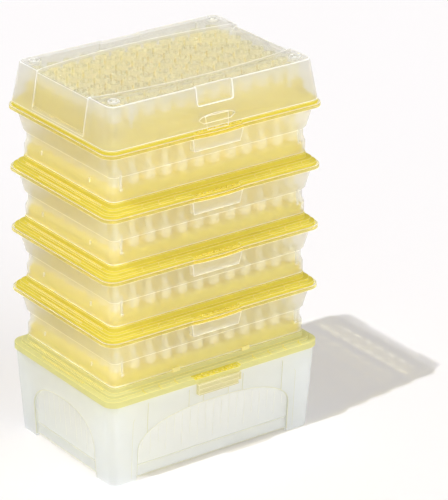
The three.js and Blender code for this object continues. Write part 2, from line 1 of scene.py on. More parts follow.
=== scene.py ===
"""A stack of pipette tip boxes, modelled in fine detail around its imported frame.

The stack has a clear base box, four refill trays, five yellow rack plates full of tips, and a
frosted lid. Every class below holds one sub-assembly: its sizes are fields, in millimetres, and
its methods model and dress the pieces. A finished mesh is brought to metres when it is mounted.

Distances called "out" run outwards from the edge of the deck that the tips stand in. Heights of
a tier's pieces are measured from the lower edge of that tier's rim.
"""

import logging
import math
from collections.abc import Callable, Sequence
from dataclasses import dataclass
from enum import Enum

import bmesh
import bpy
from mathutils import Matrix, Vector
from mathutils.kdtree import KDTree


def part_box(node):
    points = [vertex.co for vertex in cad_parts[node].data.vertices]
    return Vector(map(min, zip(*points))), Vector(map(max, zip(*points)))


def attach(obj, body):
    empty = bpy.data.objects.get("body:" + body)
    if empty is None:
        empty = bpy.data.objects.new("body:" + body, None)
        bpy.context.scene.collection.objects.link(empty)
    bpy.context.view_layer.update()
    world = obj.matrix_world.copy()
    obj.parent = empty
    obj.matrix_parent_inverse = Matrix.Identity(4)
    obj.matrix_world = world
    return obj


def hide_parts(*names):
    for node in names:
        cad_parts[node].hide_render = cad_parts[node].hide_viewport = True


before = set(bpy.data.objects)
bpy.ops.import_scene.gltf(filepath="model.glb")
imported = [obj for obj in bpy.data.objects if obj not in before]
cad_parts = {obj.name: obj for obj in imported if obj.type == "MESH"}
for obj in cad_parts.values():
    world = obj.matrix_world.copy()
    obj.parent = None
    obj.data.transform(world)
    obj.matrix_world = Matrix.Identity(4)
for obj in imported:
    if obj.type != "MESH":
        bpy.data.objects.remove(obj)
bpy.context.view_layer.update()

log = logging.getLogger("tip_boxes")

Spot = tuple[float, float]
Range = tuple[float, float]
Point = tuple[float, float, float]
Colour = tuple[float, float, float]
Profile = list[Spot]
Reach = Callable[[float], float]
Piece = bpy.types.Object
Pieces = Sequence[Piece]

MM = 0.001
TRAY_COUNT = 4
WHITE = (1.0, 1.0, 1.0, 1.0)


# ---- Shader maths ----


class Wire:
    """A shader socket that takes part in Python sums."""

    def __init__(self, web: "Web", socket: bpy.types.NodeSocket) -> None:
        """Hold a socket.

        Args:
            web: The node tree that the socket belongs to.
            socket: The output socket.
        """
        self.web = web
        self.socket = socket

    def __add__(self, other: "Wire | float") -> "Wire":
        """Sum of two values."""
        return self.web.maths("ADD", self, other)

    __radd__ = __add__

    def __mul__(self, other: "Wire | float") -> "Wire":
        """Product of two values."""
        return self.web.maths("MULTIPLY", self, other)

    __rmul__ = __mul__

    def __sub__(self, other: "Wire | float") -> "Wire":
        """Difference of two values."""
        return self.web.maths("SUBTRACT", self, other)

    def __rsub__(self, other: float) -> "Wire":
        """Difference of a number and a value."""
        return self.web.maths("SUBTRACT", other, self)


class Web:
    """A material's node tree, filled from Python expressions."""

    def __init__(self, name: str) -> None:
        """Start an empty material.

        Args:
            name: The material's name.
        """
        self.material = bpy.data.materials.new(name)
        self.material.use_nodes = True
        self.tree = self.material.node_tree
        self.tree.nodes.clear()

    @classmethod
    def of(cls, tree: bpy.types.NodeTree) -> "Web":
        """Start an empty web on a tree that exists, such as the world's.

        Args:
            tree: The tree, whose nodes are deleted.

        Returns:
            The web.
        """
        web = cls.__new__(cls)
        web.tree = tree
        tree.nodes.clear()
        return web

    def node(
        self, kind: str, settings: dict | None = None, inputs: dict | None = None
    ) -> bpy.types.Node:
        """Add one node.

        Args:
            kind: The node's type, such as ShaderNodeBump.
            settings: Properties to set first.
            inputs: Values, sockets or wires by socket name or number.

        Returns:
            The new node.
        """
        made = self.tree.nodes.new(kind)
        for key, value in (settings or {}).items():
            setattr(made, key, value)
        for key, value in (inputs or {}).items():
            source = value.socket if isinstance(value, Wire) else value
            if isinstance(source, bpy.types.NodeSocket):
                self.tree.links.new(source, made.inputs[key])
            else:
                made.inputs[key].default_value = source
        return made

    def wire(self, node: bpy.types.Node, output: str | int = 0) -> Wire:
        """One output of a node as a wire."""
        return Wire(self, node.outputs[output])

    def maths(self, operation: str, first: Wire | float, second: Wire | float) -> Wire:
        """A Math node on two values."""
        made = self.node("ShaderNodeMath", {"operation": operation}, {0: first, 1: second})
        return self.wire(made)

    def noise(self, place: Wire, scale: float, detail: float) -> Wire:
        """Noise between 0 and 1, with scale features to the metre."""
        inputs = {"Vector": place, "Scale": scale, "Detail": detail}
        return self.wire(self.node("ShaderNodeTexNoise", None, inputs), "Fac")

    def blend(self, share: Wire, first: Colour, second: Colour) -> Wire:
        """Mix two colours.

        Args:
            share: Share of the second colour.
            first: The first colour.
            second: The second colour.

        Returns:
            The colour between them.
        """
        mixed = self.node("ShaderNodeMix", {"data_type": "RGBA"}, {0: share})
        mixed.inputs[6].default_value = (*first, 1.0)
        mixed.inputs[7].default_value = (*second, 1.0)
        return self.wire(mixed, 2)

    def output(self, shader: bpy.types.Node) -> bpy.types.Material:
        """Send a shader to the material's surface and return the material."""
        self.node("ShaderNodeOutputMaterial", None, {"Surface": shader.outputs[0]})
        return self.material


# ---- Finishes ----


@dataclass(frozen=True)
class Plastic:
    """Moulded polypropylene: part clear, part frosted, part milky.

    Attributes:
        name: The material's name.
        tint: Colour that light takes on through the wall.
        face: Colour of the milky part.
        haze_and_shade: The same where the wall clouds over, and the colour that the painted shade
            darkens to near the bottom.
        clear: Share of the view that goes straight through one face of the wall.
        frost: Share of the rest that goes through it blurred.
        glow: Share of what is left that shows the light from behind.
        passes: Share of a lamp's light that gets through one face.
        rough: Roughness of the surface, which blurs what lies behind it.
        grain: Depth of the fine moulded grain, in millimetres.
        painted_shade_height: Height, in millimetres, below which the colour darkens towards the
            bottom as painted shade, or none.
    """

    name: str
    tint: Colour
    face: Colour
    haze_and_shade: Colour
    clear: float
    frost: float
    glow: float
    passes: float
    rough: float
    grain: float = 0.02
    painted_shade_height: float = 0.0

    ior = 1.1
    gloss = 0.25
    gloss_rough = 0.12
    cloud_scale = 38.0
    cloud_detail = 3.0
    grain_scale = 1400.0
    grain_detail = 2.0
    bump = 0.4
    rough_spread = 0.1
    clear_spread = 0.12
    cloud_share_in_painted_shade = 0.3

    def build(self) -> bpy.types.Material:
        """Make the material.

        Returns:
            The node-based material.
        """
        web = Web(self.name)
        place = web.wire(web.node("ShaderNodeTexCoord"), "Object")
        cloud = web.noise(place, self.cloud_scale, self.cloud_detail)
        grain = web.noise(place, self.grain_scale, self.grain_detail)
        haze_and_shade = cloud
        # Painted shade: below this height the colour darkens towards the bottom.
        if self.painted_shade_height:
            height = web.wire(web.node("ShaderNodeSeparateXYZ", None, {"Vector": place}), "Z")
            depth = web.maths("MAXIMUM", 1.0 - height * (1.0 / (self.painted_shade_height * MM)), 0.0)
            haze_and_shade = cloud * self.cloud_share_in_painted_shade + depth
        relief = {"Strength": self.bump, "Distance": self.grain * MM, "Height": grain}
        bump = web.node("ShaderNodeBump", None, relief)
        milk = web.node(
            "ShaderNodeBsdfPrincipled",
            None,
            {
                "Base Color": web.blend(haze_and_shade, self.face, self.haze_and_shade),
                "Roughness": (grain - 0.5) * self.rough_spread + self.rough,
                "IOR": self.ior,
                "Transmission Weight": self.frost,
                "Coat Weight": self.gloss,
                "Coat Roughness": self.gloss_rough,
                "Normal": bump.outputs[0],
            },
        )
        behind = web.node("ShaderNodeBsdfTranslucent", None, {"Color": (*self.face, 1.0)})
        body = web.node(
            "ShaderNodeMixShader", None, {0: self.glow, 1: milk.outputs[0], 2: behind.outputs[0]}
        )
        through = web.node("ShaderNodeBsdfTransparent", None, {"Color": (*self.tint, 1.0)})
        clear = (0.5 - cloud) * self.clear_spread + self.clear
        lamp = web.wire(web.node("ShaderNodeLightPath"), "Is Shadow Ray")
        share = clear + (self.passes - clear) * lamp
        mixed = web.node(
            "ShaderNodeMixShader", None, {0: share, 1: body.outputs[0], 2: through.outputs[0]}
        )
        return web.output(mixed)


@dataclass(frozen=True)
class PaperFloor:
    """Seamless white paper that keeps a shadow.

    Attributes:
        colour: Colour of the paper.
        lift: Brightness added for the eye and for reflections, which whitens the paper.
    """

    colour: Colour = (0.87, 0.847, 0.853)
    lift: float = 0.088

    def build(self) -> bpy.types.Material:
        """Make the material.

        Returns:
            The node-based material.
        """
        web = Web("studio_paper")
        path = web.node("ShaderNodeLightPath")
        seen = (
            web.wire(path, "Is Camera Ray")
            + web.wire(path, "Is Glossy Ray")
            + web.wire(path, "Is Transmission Ray")
        )
        glow = web.maths("MINIMUM", seen, 1.0) * self.lift
        paper = web.node(
            "ShaderNodeBsdfPrincipled",
            None,
            {
                "Base Color": (*self.colour, 1.0),
                "Roughness": 0.9,
                "Specular IOR Level": 0.0,
                "Emission Color": WHITE,
                "Emission Strength": glow,
            },
        )
        return web.output(paper)


class Finish(Enum):
    """The plastics of the stack: each one's wall, its edges' finish, and other faces. On the lid,
    the trays, the plates and the catches the edges' finish is a paler one that paints bright
    highlight lines on edges and beads.
    """

    BASE = (
        "clear_base",
        # The wall darkens towards the floor as painted shade.
        Plastic(
            "base_wall", tint=(0.985, 0.985, 0.99),
            face=(0.955, 0.98, 1.0), haze_and_shade=(0.845, 0.865, 0.89),
            clear=0.15, frost=0.3, glow=0.35, passes=0.92, rough=0.5, painted_shade_height=30.0,
        ),
        Plastic(
            "base_edge", tint=(1.0, 1.0, 1.0),
            face=(0.87, 0.865, 0.74), haze_and_shade=(0.85, 0.845, 0.72),
            clear=0.1, frost=0.1, glow=0.3, passes=0.35, rough=0.4,
        ),
        # The panels darken towards the floor as painted shade.
        Plastic(
            "base_panel", tint=(0.98, 0.99, 0.99),
            face=(0.99, 1.0, 1.0), haze_and_shade=(0.88, 0.905, 0.925),
            clear=0.2, frost=0.3, glow=0.18, passes=0.95, rough=0.12, painted_shade_height=30.0,
        ),
    )
    CATCH = (
        "clear_base",
        Plastic(
            "catch_wall", tint=(0.98, 0.94, 0.75),
            face=(0.86, 0.83, 0.60), haze_and_shade=(0.82, 0.78, 0.53),
            clear=0.3, frost=0.2, glow=0.4, passes=0.8, rough=0.4,
        ),
        # Paler edge finish: paints bright highlight lines along edges.
        Plastic(
            "catch_edge_highlight", tint=(1.0, 0.99, 0.94),
            face=(0.95, 0.93, 0.80), haze_and_shade=(0.92, 0.90, 0.76),
            clear=0.15, frost=0.1, glow=0.3, passes=0.7, rough=0.4,
        ),
    )
    TRAY = (
        "frosted",
        Plastic(
            "tray_wall", tint=(1.0, 1.0, 0.98),
            face=(0.99, 0.985, 0.955), haze_and_shade=(0.97, 0.965, 0.935),
            clear=0.4, frost=0.82, glow=0.28, passes=0.9, rough=0.3,
        ),
        # Paler edge finish: paints bright highlight lines along edges and beads.
        Plastic(
            "tray_edge_highlight", tint=(1.0, 1.0, 0.99),
            face=(0.98, 0.97, 0.93), haze_and_shade=(0.96, 0.95, 0.90),
            clear=0.12, frost=0.1, glow=0.4, passes=0.8, rough=0.4,
        ),
        Plastic(
            "tray_lip", tint=(1.0, 0.93, 0.45),
            face=(0.88, 0.79, 0.22), haze_and_shade=(0.86, 0.77, 0.20),
            clear=0.6, frost=0.85, glow=0.25, passes=0.85, rough=0.3,
        ),
    )
    LID = (
        "frosted",
        Plastic(
            "lid_wall", tint=(1.0, 1.0, 0.98),
            face=(0.93, 0.927, 0.92), haze_and_shade=(0.91, 0.907, 0.90),
            clear=0.3, frost=0.78, glow=0.3, passes=0.66, rough=0.42,
        ),
        # White edge finish: paints bright highlight lines along edges and beads.
        Plastic(
            "lid_edge_highlight", tint=(1.0, 1.0, 1.0),
            face=(1.0, 1.0, 1.0), haze_and_shade=(0.97, 0.97, 0.96),
            clear=0.05, frost=0.0, glow=0.3, passes=0.8, rough=0.4,
        ),
        # Roof finish: clearer than the wall, and darker as painted shade on the top.
        Plastic(
            "lid_roof_shaded", tint=(1.0, 1.0, 0.98),
            face=(0.89, 0.885, 0.87), haze_and_shade=(0.87, 0.865, 0.85),
            clear=0.66, frost=0.7, glow=0.22, passes=0.8, rough=0.12,
        ),
    )
    YELLOW = (
        "yellow_plate",
        Plastic(
            "yellow_wall", tint=(1.0, 0.93, 0.4),
            face=(0.90, 0.83, 0.17), haze_and_shade=(0.88, 0.81, 0.15),
            clear=0.15, frost=0.15, glow=0.4, passes=0.55, rough=0.45,
        ),
        # Paler edge finish: paints bright highlight lines along edges and fine lines.
        Plastic(
            "yellow_edge_highlight", tint=(1.0, 0.97, 0.7),
            face=(0.96, 0.91, 0.52), haze_and_shade=(0.94, 0.89, 0.47),
            clear=0.05, frost=0.0, glow=0.4, passes=0.65, rough=0.45,
        ),
        Plastic(
            "yellow_pale", tint=(1.0, 0.95, 0.55),
            face=(0.87, 0.86, 0.54), haze_and_shade=(0.85, 0.84, 0.5),
            clear=0.15, frost=0.2, glow=0.4, passes=0.6, rough=0.45,
        ),
    )
    TIP = (
        "tip_plastic",
        # The yellow cream of the tips' walls paints the yellow light reflected onto them from the
        # plates.
        Plastic(
            "tip_wall_yellow_reflection", tint=(1.0, 0.98, 0.86),
            face=(0.97, 0.945, 0.74), haze_and_shade=(0.95, 0.925, 0.70),
            clear=0.32, frost=0.4, glow=0.45, passes=0.97, rough=0.25,
        ),
        Plastic(
            "tip_edge", tint=(1.0, 1.0, 0.98),
            face=(0.99, 0.99, 0.98), haze_and_shade=(0.96, 0.96, 0.94),
            clear=0.1, frost=0.1, glow=0.5, passes=0.95, rough=0.25,
        ),
        # Pale collar finish: on every second side it paints highlight stripes; it also makes the
        # band round the mouth.
        Plastic(
            "tip_collar", tint=(1.0, 0.98, 0.88),
            face=(0.99, 0.98, 0.9), haze_and_shade=(0.98, 0.97, 0.88),
            clear=0.12, frost=0.2, glow=0.45, passes=0.95, rough=0.3,
        ),
        # Dark mouth finish: painted shade of the opening, on the tips' top faces.
        Plastic(
            "tip_mouth_shade", tint=(0.97, 0.96, 0.88),
            face=(0.70, 0.69, 0.50), haze_and_shade=(0.68, 0.67, 0.47),
            clear=0.08, frost=0.1, glow=0.4, passes=0.95, rough=0.4,
        ),
    )

    def __init__(self, slot: str, *looks: Plastic) -> None:
        """Name the slot and the plastics of the wall, the edges and other faces."""
        self.slot = slot
        self.looks = looks

    def materials(self) -> list[bpy.types.Material]:
        """The materials of all its plastics, made at their first use."""
        return [bpy.data.materials.get(look.name) or look.build() for look in self.looks]


# ---- Modelling tools ----


class Side(Enum):
    """One side of the stack, as its outward direction in plan."""

    FRONT = (0, -1)
    RIGHT = (1, 0)
    BACK = (0, 1)
    LEFT = (-1, 0)

    def place(self, along: float, outward: float, height: float) -> Point:
        """Turn a place on this side into the stack's own directions.

        Args:
            along: Distance along the side, to the right as seen from outside.
            outward: Distance from the stack's middle plane.
            height: Height above the reference level.

        Returns:
            The point as x, y and z.
        """
        x, y = self.value
        return (x * outward - y * along, y * outward + x * along, height)

    def distance(self, point: Sequence[float]) -> float:
        """How far out a point lies towards this side."""
        x, y = self.value
        return x * point[0] + y * point[1]

    @property
    def is_long(self) -> bool:
        """Whether this is the front or the back."""
        return self.value[0] == 0


LONG_SIDES = (Side.FRONT, Side.BACK)
SHORT_SIDES = (Side.RIGHT, Side.LEFT)


def flat(distance: float) -> Reach:
    """An upright plane at a distance from the middle plane."""
    return lambda level: distance


def circle(middle: Spot, radius: float, level: float, steps: int) -> list[Point]:
    """Points around an upright axis.

    Args:
        middle: Where the axis stands.
        radius: Distance of the points from it.
        level: Their height.
        steps: Their number.

    Returns:
        The points, counterclockwise.
    """
    turns = [math.tau * i / steps for i in range(steps)]
    x, y = middle
    return [(x + radius * math.cos(turn), y + radius * math.sin(turn), level) for turn in turns]


@dataclass(frozen=True)
class Outline:
    """A rounded rectangle that grows outwards with its corners.

    Attributes:
        half_length: Half the length of the deck.
        half_width: Half the width of the deck.
        corner: Corner radius at the deck's edge.
        growth: Growth of the corner radius with the distance out.
        steps: Flats around each corner.
    """

    half_length: float = 53.4
    half_width: float = 35.4
    corner: float = 2.5
    growth: float = 0.5
    steps: int = 7

    smallest = 0.4

    def ring(self, out: float, height: float) -> list[Point]:
        """The outline's points at a distance out and a height.

        Args:
            out: Distance outwards from the deck's edge.
            height: Height of the ring.

        Returns:
            The points, counterclockwise from the right-hand side.
        """
        radius = max(self.corner + self.growth * out, self.smallest)
        across, deep = self.half_length + out - radius, self.half_width + out - radius
        points = []
        for quarter, (x, y) in enumerate(((1, 1), (-1, 1), (-1, -1), (1, -1))):
            for step in range(self.steps + 1):
                angle = (quarter + step / self.steps) * math.pi / 2
                bend = (radius * math.cos(angle), radius * math.sin(angle))
                points.append((x * across + bend[0], y * deep + bend[1], height))
        return points

    def rings(self, section: Profile) -> list[list[Point]]:
        """The rings of a wall whose section is given as distances out and heights."""
        return [self.ring(out, level) for out, level in section]

    def reach(self, side: Side) -> float:
        """Distance from the middle plane to the deck's edge on one side."""
        return self.half_width if side.is_long else self.half_length

    def span(self, side: Side) -> float:
        """Half the length of the deck's edge on one side."""
        return self.half_length if side.is_long else self.half_width

    def corners(self, inset: float) -> list[Spot]:
        """Places that lie inside all four corners by the same distance."""
        x, y = self.half_length - inset, self.half_width - inset
        return [(i * x, j * y) for i in (-1, 1) for j in (-1, 1)]


class Bench:
    """Modelling by hand: add a primitive, extrude it, cut it, round its edges."""

    edge_slot = 1
    smooth_angle = 32.0
    level_slack = 0.01

    @staticmethod
    def clear() -> None:
        """Leave edit mode and select nothing."""
        if bpy.context.mode != "OBJECT":
            bpy.ops.object.mode_set(mode="OBJECT")
        bpy.ops.object.select_all(action="DESELECT")

    @classmethod
    def take(cls, *pieces: Piece) -> None:
        """Select some pieces, the first one active.

        Args:
            pieces: The pieces.
        """
        cls.clear()
        for piece in pieces:
            piece.select_set(True)
        bpy.context.view_layer.objects.active = pieces[0]

    @classmethod
    def loft(
        cls,
        name: str,
        rings: Sequence[Sequence[Point]],
        capped: bool = True,
        closed: bool = False,
    ) -> Piece:
        """Extrude a ring of points through several places.

        Args:
            name: Name of the piece.
            rings: The places of the ring, each with as many points as the first.
            capped: Whether the first and the last ring are filled.
            closed: Whether the last ring joins the first, as around a tube's wall.

        Returns:
            The new piece.
        """
        cls.clear()
        fill = "NGON" if capped else "NOTHING"
        bpy.ops.mesh.primitive_circle_add(vertices=len(rings[0]), radius=1.0, fill_type=fill)
        piece = bpy.context.object
        piece.name = name
        bpy.ops.object.mode_set(mode="EDIT")
        bpy.ops.mesh.select_all(action="SELECT")
        mesh = bmesh.from_edit_mesh(piece.data)
        mesh.verts.ensure_lookup_table()
        for vert, place in zip(mesh.verts, rings[0]):
            vert.co = place
        for before, ring in zip(rings, rings[1:]):
            bpy.ops.mesh.extrude_region()
            mesh = bmesh.from_edit_mesh(piece.data)
            fresh = [vert for vert in mesh.verts if vert.select]
            tree = KDTree(len(fresh))
            for number, vert in enumerate(fresh):
                tree.insert(vert.co, number)
            tree.balance()
            moved = [fresh[tree.find(old)[1]] for old in before]
            for vert, place in zip(moved, ring):
                vert.co = place
            bmesh.update_edit_mesh(piece.data)
        if closed:
            bpy.ops.mesh.select_all(action="DESELECT")
            bpy.ops.mesh.select_mode(type="EDGE")
            bpy.ops.mesh.select_non_manifold()
            bpy.ops.mesh.bridge_edge_loops()
            bpy.ops.mesh.select_mode(type="VERT")
        bpy.ops.mesh.select_all(action="SELECT")
        bpy.ops.mesh.normals_make_consistent(inside=False)
        cls.clear()
        return piece

    @classmethod
    def bar(cls, name: str, side: Side, along: Range, outward: Range, height: Range) -> Piece:
        """A bar that lies along one side.

        Args:
            name: Name of the piece.
            side: The side that it lies on.
            along: Where it starts and ends along the side.
            outward: Distances of its two faces from the middle plane.
            height: Its lower and upper level.

        Returns:
            The new piece.
        """
        (low, high), (near, far) = along, outward
        corners = ((low, near), (high, near), (high, far), (low, far))
        return cls.loft(name, [[side.place(u, w, level) for u, w in corners] for level in height])

    @classmethod
    def block(
        cls, name: str, side: Side, at: float, half: float, outward: Range, height: Range
    ) -> Piece:
        """A bar of a given half width, centred on a place along one side."""
        return cls.bar(name, side, (at - half, at + half), outward, height)

    @classmethod
    def panel(cls, name: str, side: Side, profile: Profile, near: Reach, far: Reach) -> Piece:
        """An upright profile extruded outwards through one side.

        Args:
            name: Name of the piece.
            side: The side that it goes through.
            profile: Its outline as distance along the side and height.
            near: Distance of its inner face from the middle plane, at a height.
            far: The same for its outer face.

        Returns:
            The new piece.
        """
        rings = [[side.place(u, reach(v), v) for u, v in profile] for reach in (near, far)]
        return cls.loft(name, rings)

    @classmethod
    def tube(cls, name: str, middle: Spot, section: Profile, sides: int, closed: bool) -> Piece:
        """A round piece around an upright axis.

        Args:
            name: Name of the piece.
            middle: Where the axis stands.
            section: Its wall as radius and height.
            sides: Number of flats around it.
            closed: Whether the wall's section closes on itself.

        Returns:
            The new piece.
        """
        rings = [circle(middle, radius, level, sides) for radius, level in section]
        return cls.loft(name, rings, capped=not closed, closed=closed)

    @classmethod
    def bead(cls, path: Sequence[Point], radius: float, cyclic: bool = False) -> Piece:
        """A round bead along a path.

        Args:
            path: The points that it follows.
            radius: Radius of the bead.
            cyclic: Whether the path closes on itself.

        Returns:
            The new piece.
        """
        cls.clear()
        curve = bpy.data.curves.new("bead", "CURVE")
        curve.dimensions = "3D"
        curve.bevel_depth = radius
        curve.bevel_resolution = 1
        curve.use_fill_caps = True
        spline = curve.splines.new("POLY")
        spline.points.add(len(path) - 1)
        for knot, place in zip(spline.points, path):
            knot.co = (*place, 1.0)
        spline.use_cyclic_u = cyclic
        piece = bpy.data.objects.new("bead", curve)
        bpy.context.scene.collection.objects.link(piece)
        cls.take(piece)
        bpy.ops.object.convert(target="MESH")
        piece = bpy.context.object
        cls.clear()
        return piece

    @classmethod
    def stroke(
        cls, side: Side, face: Reach, knots: Profile, radius: float, cyclic: bool = False
    ) -> Piece:
        """A round bead drawn on one side's wall.

        Args:
            side: The side.
            face: Distance of the wall from the middle plane, at a height.
            knots: The points that it follows, as distance along the side and height.
            radius: Radius of the bead.
            cyclic: Whether the path closes on itself.

        Returns:
            The new piece.
        """
        return cls.bead([side.place(u, face(v), v) for u, v in knots], radius, cyclic)

    @classmethod
    def apply(cls, piece: Piece, kind: str, **settings: object) -> None:
        """Add a modifier and apply it.

        Args:
            piece: The piece that it changes.
            kind: The modifier's type.
            settings: Its properties.
        """
        modifier = piece.modifiers.new(kind.title(), kind)
        for key, value in settings.items():
            setattr(modifier, key, value)
        cls.take(piece)
        bpy.ops.object.modifier_apply(modifier=modifier.name)
        cls.clear()

    @classmethod
    def carve(cls, piece: Piece, *cutters: Piece) -> None:
        """Cut some pieces out of another and throw them away.

        Args:
            piece: The piece that stays.
            cutters: The pieces that cut it.
        """
        for cutter in cutters:
            cls.apply(piece, "BOOLEAN", operation="DIFFERENCE", solver="EXACT", object=cutter)
            bpy.data.objects.remove(cutter)

    @classmethod
    def hollow(cls, piece: Piece, wall: float, *levels: float) -> None:
        """Open a solid at some heights and give what is left of its skin a thickness inwards.

        Args:
            piece: The solid.
            wall: Thickness of the wall.
            levels: Heights of the flat faces that are deleted.
        """
        cls.take(piece)
        bpy.ops.object.mode_set(mode="EDIT")
        bpy.ops.mesh.select_all(action="DESELECT")
        bpy.ops.mesh.select_mode(type="FACE")
        mesh = bmesh.from_edit_mesh(piece.data)
        for face in mesh.faces:
            height = face.calc_center_median().z
            is_level = abs(face.normal.z) > 0.99
            is_meant = any(abs(height - level) < cls.level_slack for level in levels)
            face.select_set(is_level and is_meant)
        bmesh.update_edit_mesh(piece.data)
        bpy.ops.mesh.delete(type="FACE")
        bpy.ops.mesh.select_mode(type="VERT")
        cls.clear()
        cls.apply(piece, "SOLIDIFY", thickness=wall, offset=-1.0, use_even_offset=True)

    @classmethod
    def dress(cls, finish: Finish, *pieces: Piece, edges: bool = False) -> None:
        """Give some pieces their finish.

        Args:
            finish: Their plastic.
            pieces: The pieces.
            edges: Whether they take the finish of the plastic's edges all over.
        """
        looks = finish.materials()
        for piece in pieces:
            piece.data.materials.clear()
            for material in (looks[cls.edge_slot],) if edges else looks:
                piece.data.materials.append(material)

    @classmethod
    def paint(cls, piece: Piece, look: str, chosen: Callable[[Vector, Vector], bool]) -> None:
        """Give some faces of a dressed piece another of its finishes.

        Args:
            piece: The piece.
            look: Name of the finish.
            chosen: Tells from a face's middle and normal whether it takes that finish.
        """
        slot = piece.data.materials.find(look)
        for face in piece.data.polygons:
            if chosen(face.center, face.normal):
                face.material_index = slot

    @classmethod
    def round_edges(cls, piece: Piece, width: float) -> None:
        """Round a dressed piece's sharp edges, which take the finish of its edges; on the lid,
        the trays, the plates and the catches that finish is paler and paints bright highlight
        lines.

        Args:
            piece: The piece.
            width: Width of the rounding.
        """
        cls.apply(
            piece,
            "BEVEL",
            width=width,
            segments=2,
            limit_method="ANGLE",
            angle_limit=math.radians(35.0),
            material=cls.edge_slot,
            use_clamp_overlap=True,
        )

    @classmethod
    def fit(
        cls, piece: Piece, finish: Finish, extras: Pieces, width: float, lines: Pieces
    ) -> None:
        """Join dressed extras with rounded edges, and fine lines, to a piece.

        Args:
            piece: The piece that they join.
            finish: Its plastic, whose edges' finish the lines take.
            extras: The extras.
            width: Width of the rounding of their edges.
            lines: The lines.
        """
        for extra in extras:
            cls.round_edges(extra, width)
        cls.dress(finish, *lines, edges=True)
        cls.take(piece, *extras, *lines)
        bpy.ops.object.join()
        cls.clear()

    @classmethod
    def copy(cls, piece: Piece, name: str, lift: float) -> Piece:
        """Copy a piece with a mesh of its own, moved up.

        Args:
            piece: The piece.
            name: Name of the copy.
            lift: How far the copy moves up.

        Returns:
            The copy.
        """
        twin = piece.copy()
        twin.data = piece.data.copy()
        twin.name = name
        bpy.context.scene.collection.objects.link(twin)
        twin.data.transform(Matrix.Translation((0.0, 0.0, lift)))
        return twin

    @classmethod
    def mount(cls, piece: Piece, body: str, finish: Finish, *nodes: str) -> None:
        """Bring a finished piece to metres and let it ride on its body.

        Args:
            piece: The finished piece, in millimetres.
            body: The body that it moves with.
            finish: Its plastic; not used.
            nodes: The frame's nodes that it stands for.
        """
        piece.data.transform(Matrix.Scale(MM, 4))
        cls.take(piece)
        bpy.ops.object.shade_smooth_by_angle(angle=math.radians(cls.smooth_angle))
        cls.clear()
        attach(piece, body)
        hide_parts(*nodes)
        log.info("%s: %d faces on %s", piece.name, len(piece.data.polygons), body)


# ---- Tips ----


@dataclass
class TipRack:
    """A full rack of tips on one deck.

    Attributes:
        columns: Tips along the deck.
        rows: Tips across the deck.
        pitch: Distance between two tips.
        length: Length of a tip.
        collar: Radius of the collar that stands on the deck.
        collar_height: Height of the collar.
        band: Height of the pale band around the mouth.
        body: Radius of the body under the collar.
        waist: Radius of the body where it turns into the fine point.
        waist_height: Height of that place above the fine end.
        bore: Radius of the mouth.
        end: Radius of the fine end.
        top: Height of the mouth above the tier's rim.
    """

    columns: int = 12
    rows: int = 8
    pitch: float = 9.0
    length: float = 50.0
    collar: float = 3.2
    collar_height: float = 6.5
    band: float = 2.2
    body: float = 2.5
    waist: float = 1.55
    waist_height: float = 22.5
    bore: float = 2.3
    end: float = 0.55
    top: float = 19.6

    sides = 10
    end_wall = 0.22
    bore_taper = 0.35
    slack = 0.1

    @property
    def first(self) -> Spot:
        """Place of the tip in the grid's corner."""
        return (-(self.columns - 1) / 2 * self.pitch, -(self.rows - 1) / 2 * self.pitch)

    def spread(self, piece: Piece) -> None:
        """Repeat a piece all over the grid.

        Args:
            piece: The piece, in the grid's corner.
        """
        steps = ((self.columns, (self.pitch, 0.0, 0.0)), (self.rows, (0.0, self.pitch, 0.0)))
        for count, step in steps:
            Bench.apply(
                piece,
                "ARRAY",
                count=count,
                use_relative_offset=False,
                use_constant_offset=True,
                constant_offset_displace=step,
            )

    def is_highlight_stripe(self, facing: Vector) -> bool:
        """Tell whether a face of the collar takes a painted highlight stripe, as every second
        side does.
        """
        turn = math.atan2(facing.y, facing.x) / math.tau * self.sides
        return abs(facing.z) < 0.5 and math.floor(turn) % 2 == 0

    def build(self) -> Piece:
        """Model one rack of hollow tips at the first tier's height.

        Returns:
            The rack of tips, as one piece.
        """
        low, foot = self.top - self.length, self.top - self.collar_height
        waist, band = low + self.waist_height, self.top - self.band
        section = [
            (self.end - self.end_wall, low),
            (self.end, low),
            (self.waist, waist),
            (self.body, foot),
            (self.collar, foot),
            (self.collar, band),
            (self.collar, self.top),
            (self.bore, self.top),
            (self.bore - self.bore_taper, foot),
        ]
        piece = Bench.tube("tip", self.first, section, self.sides, closed=True)
        Bench.dress(Finish.TIP, piece)
        Bench.paint(piece, "tip_edge", lambda spot, _: spot.z < waist)
        above = foot + self.slack
        # Every second side of the collar takes the pale finish as a painted highlight stripe.
        Bench.paint(piece, "tip_collar", lambda spot, way: spot.z > above and self.is_highlight_stripe(way))
        Bench.paint(piece, "tip_collar", lambda spot, _: spot.z > band)
        # The top faces of the mouths are painted dark as the shade of the opening.
        Bench.paint(piece, "tip_mouth_shade", lambda spot, _: spot.z > self.top - self.slack)
        self.spread(piece)
        return piece


# ---- Rack plates ----


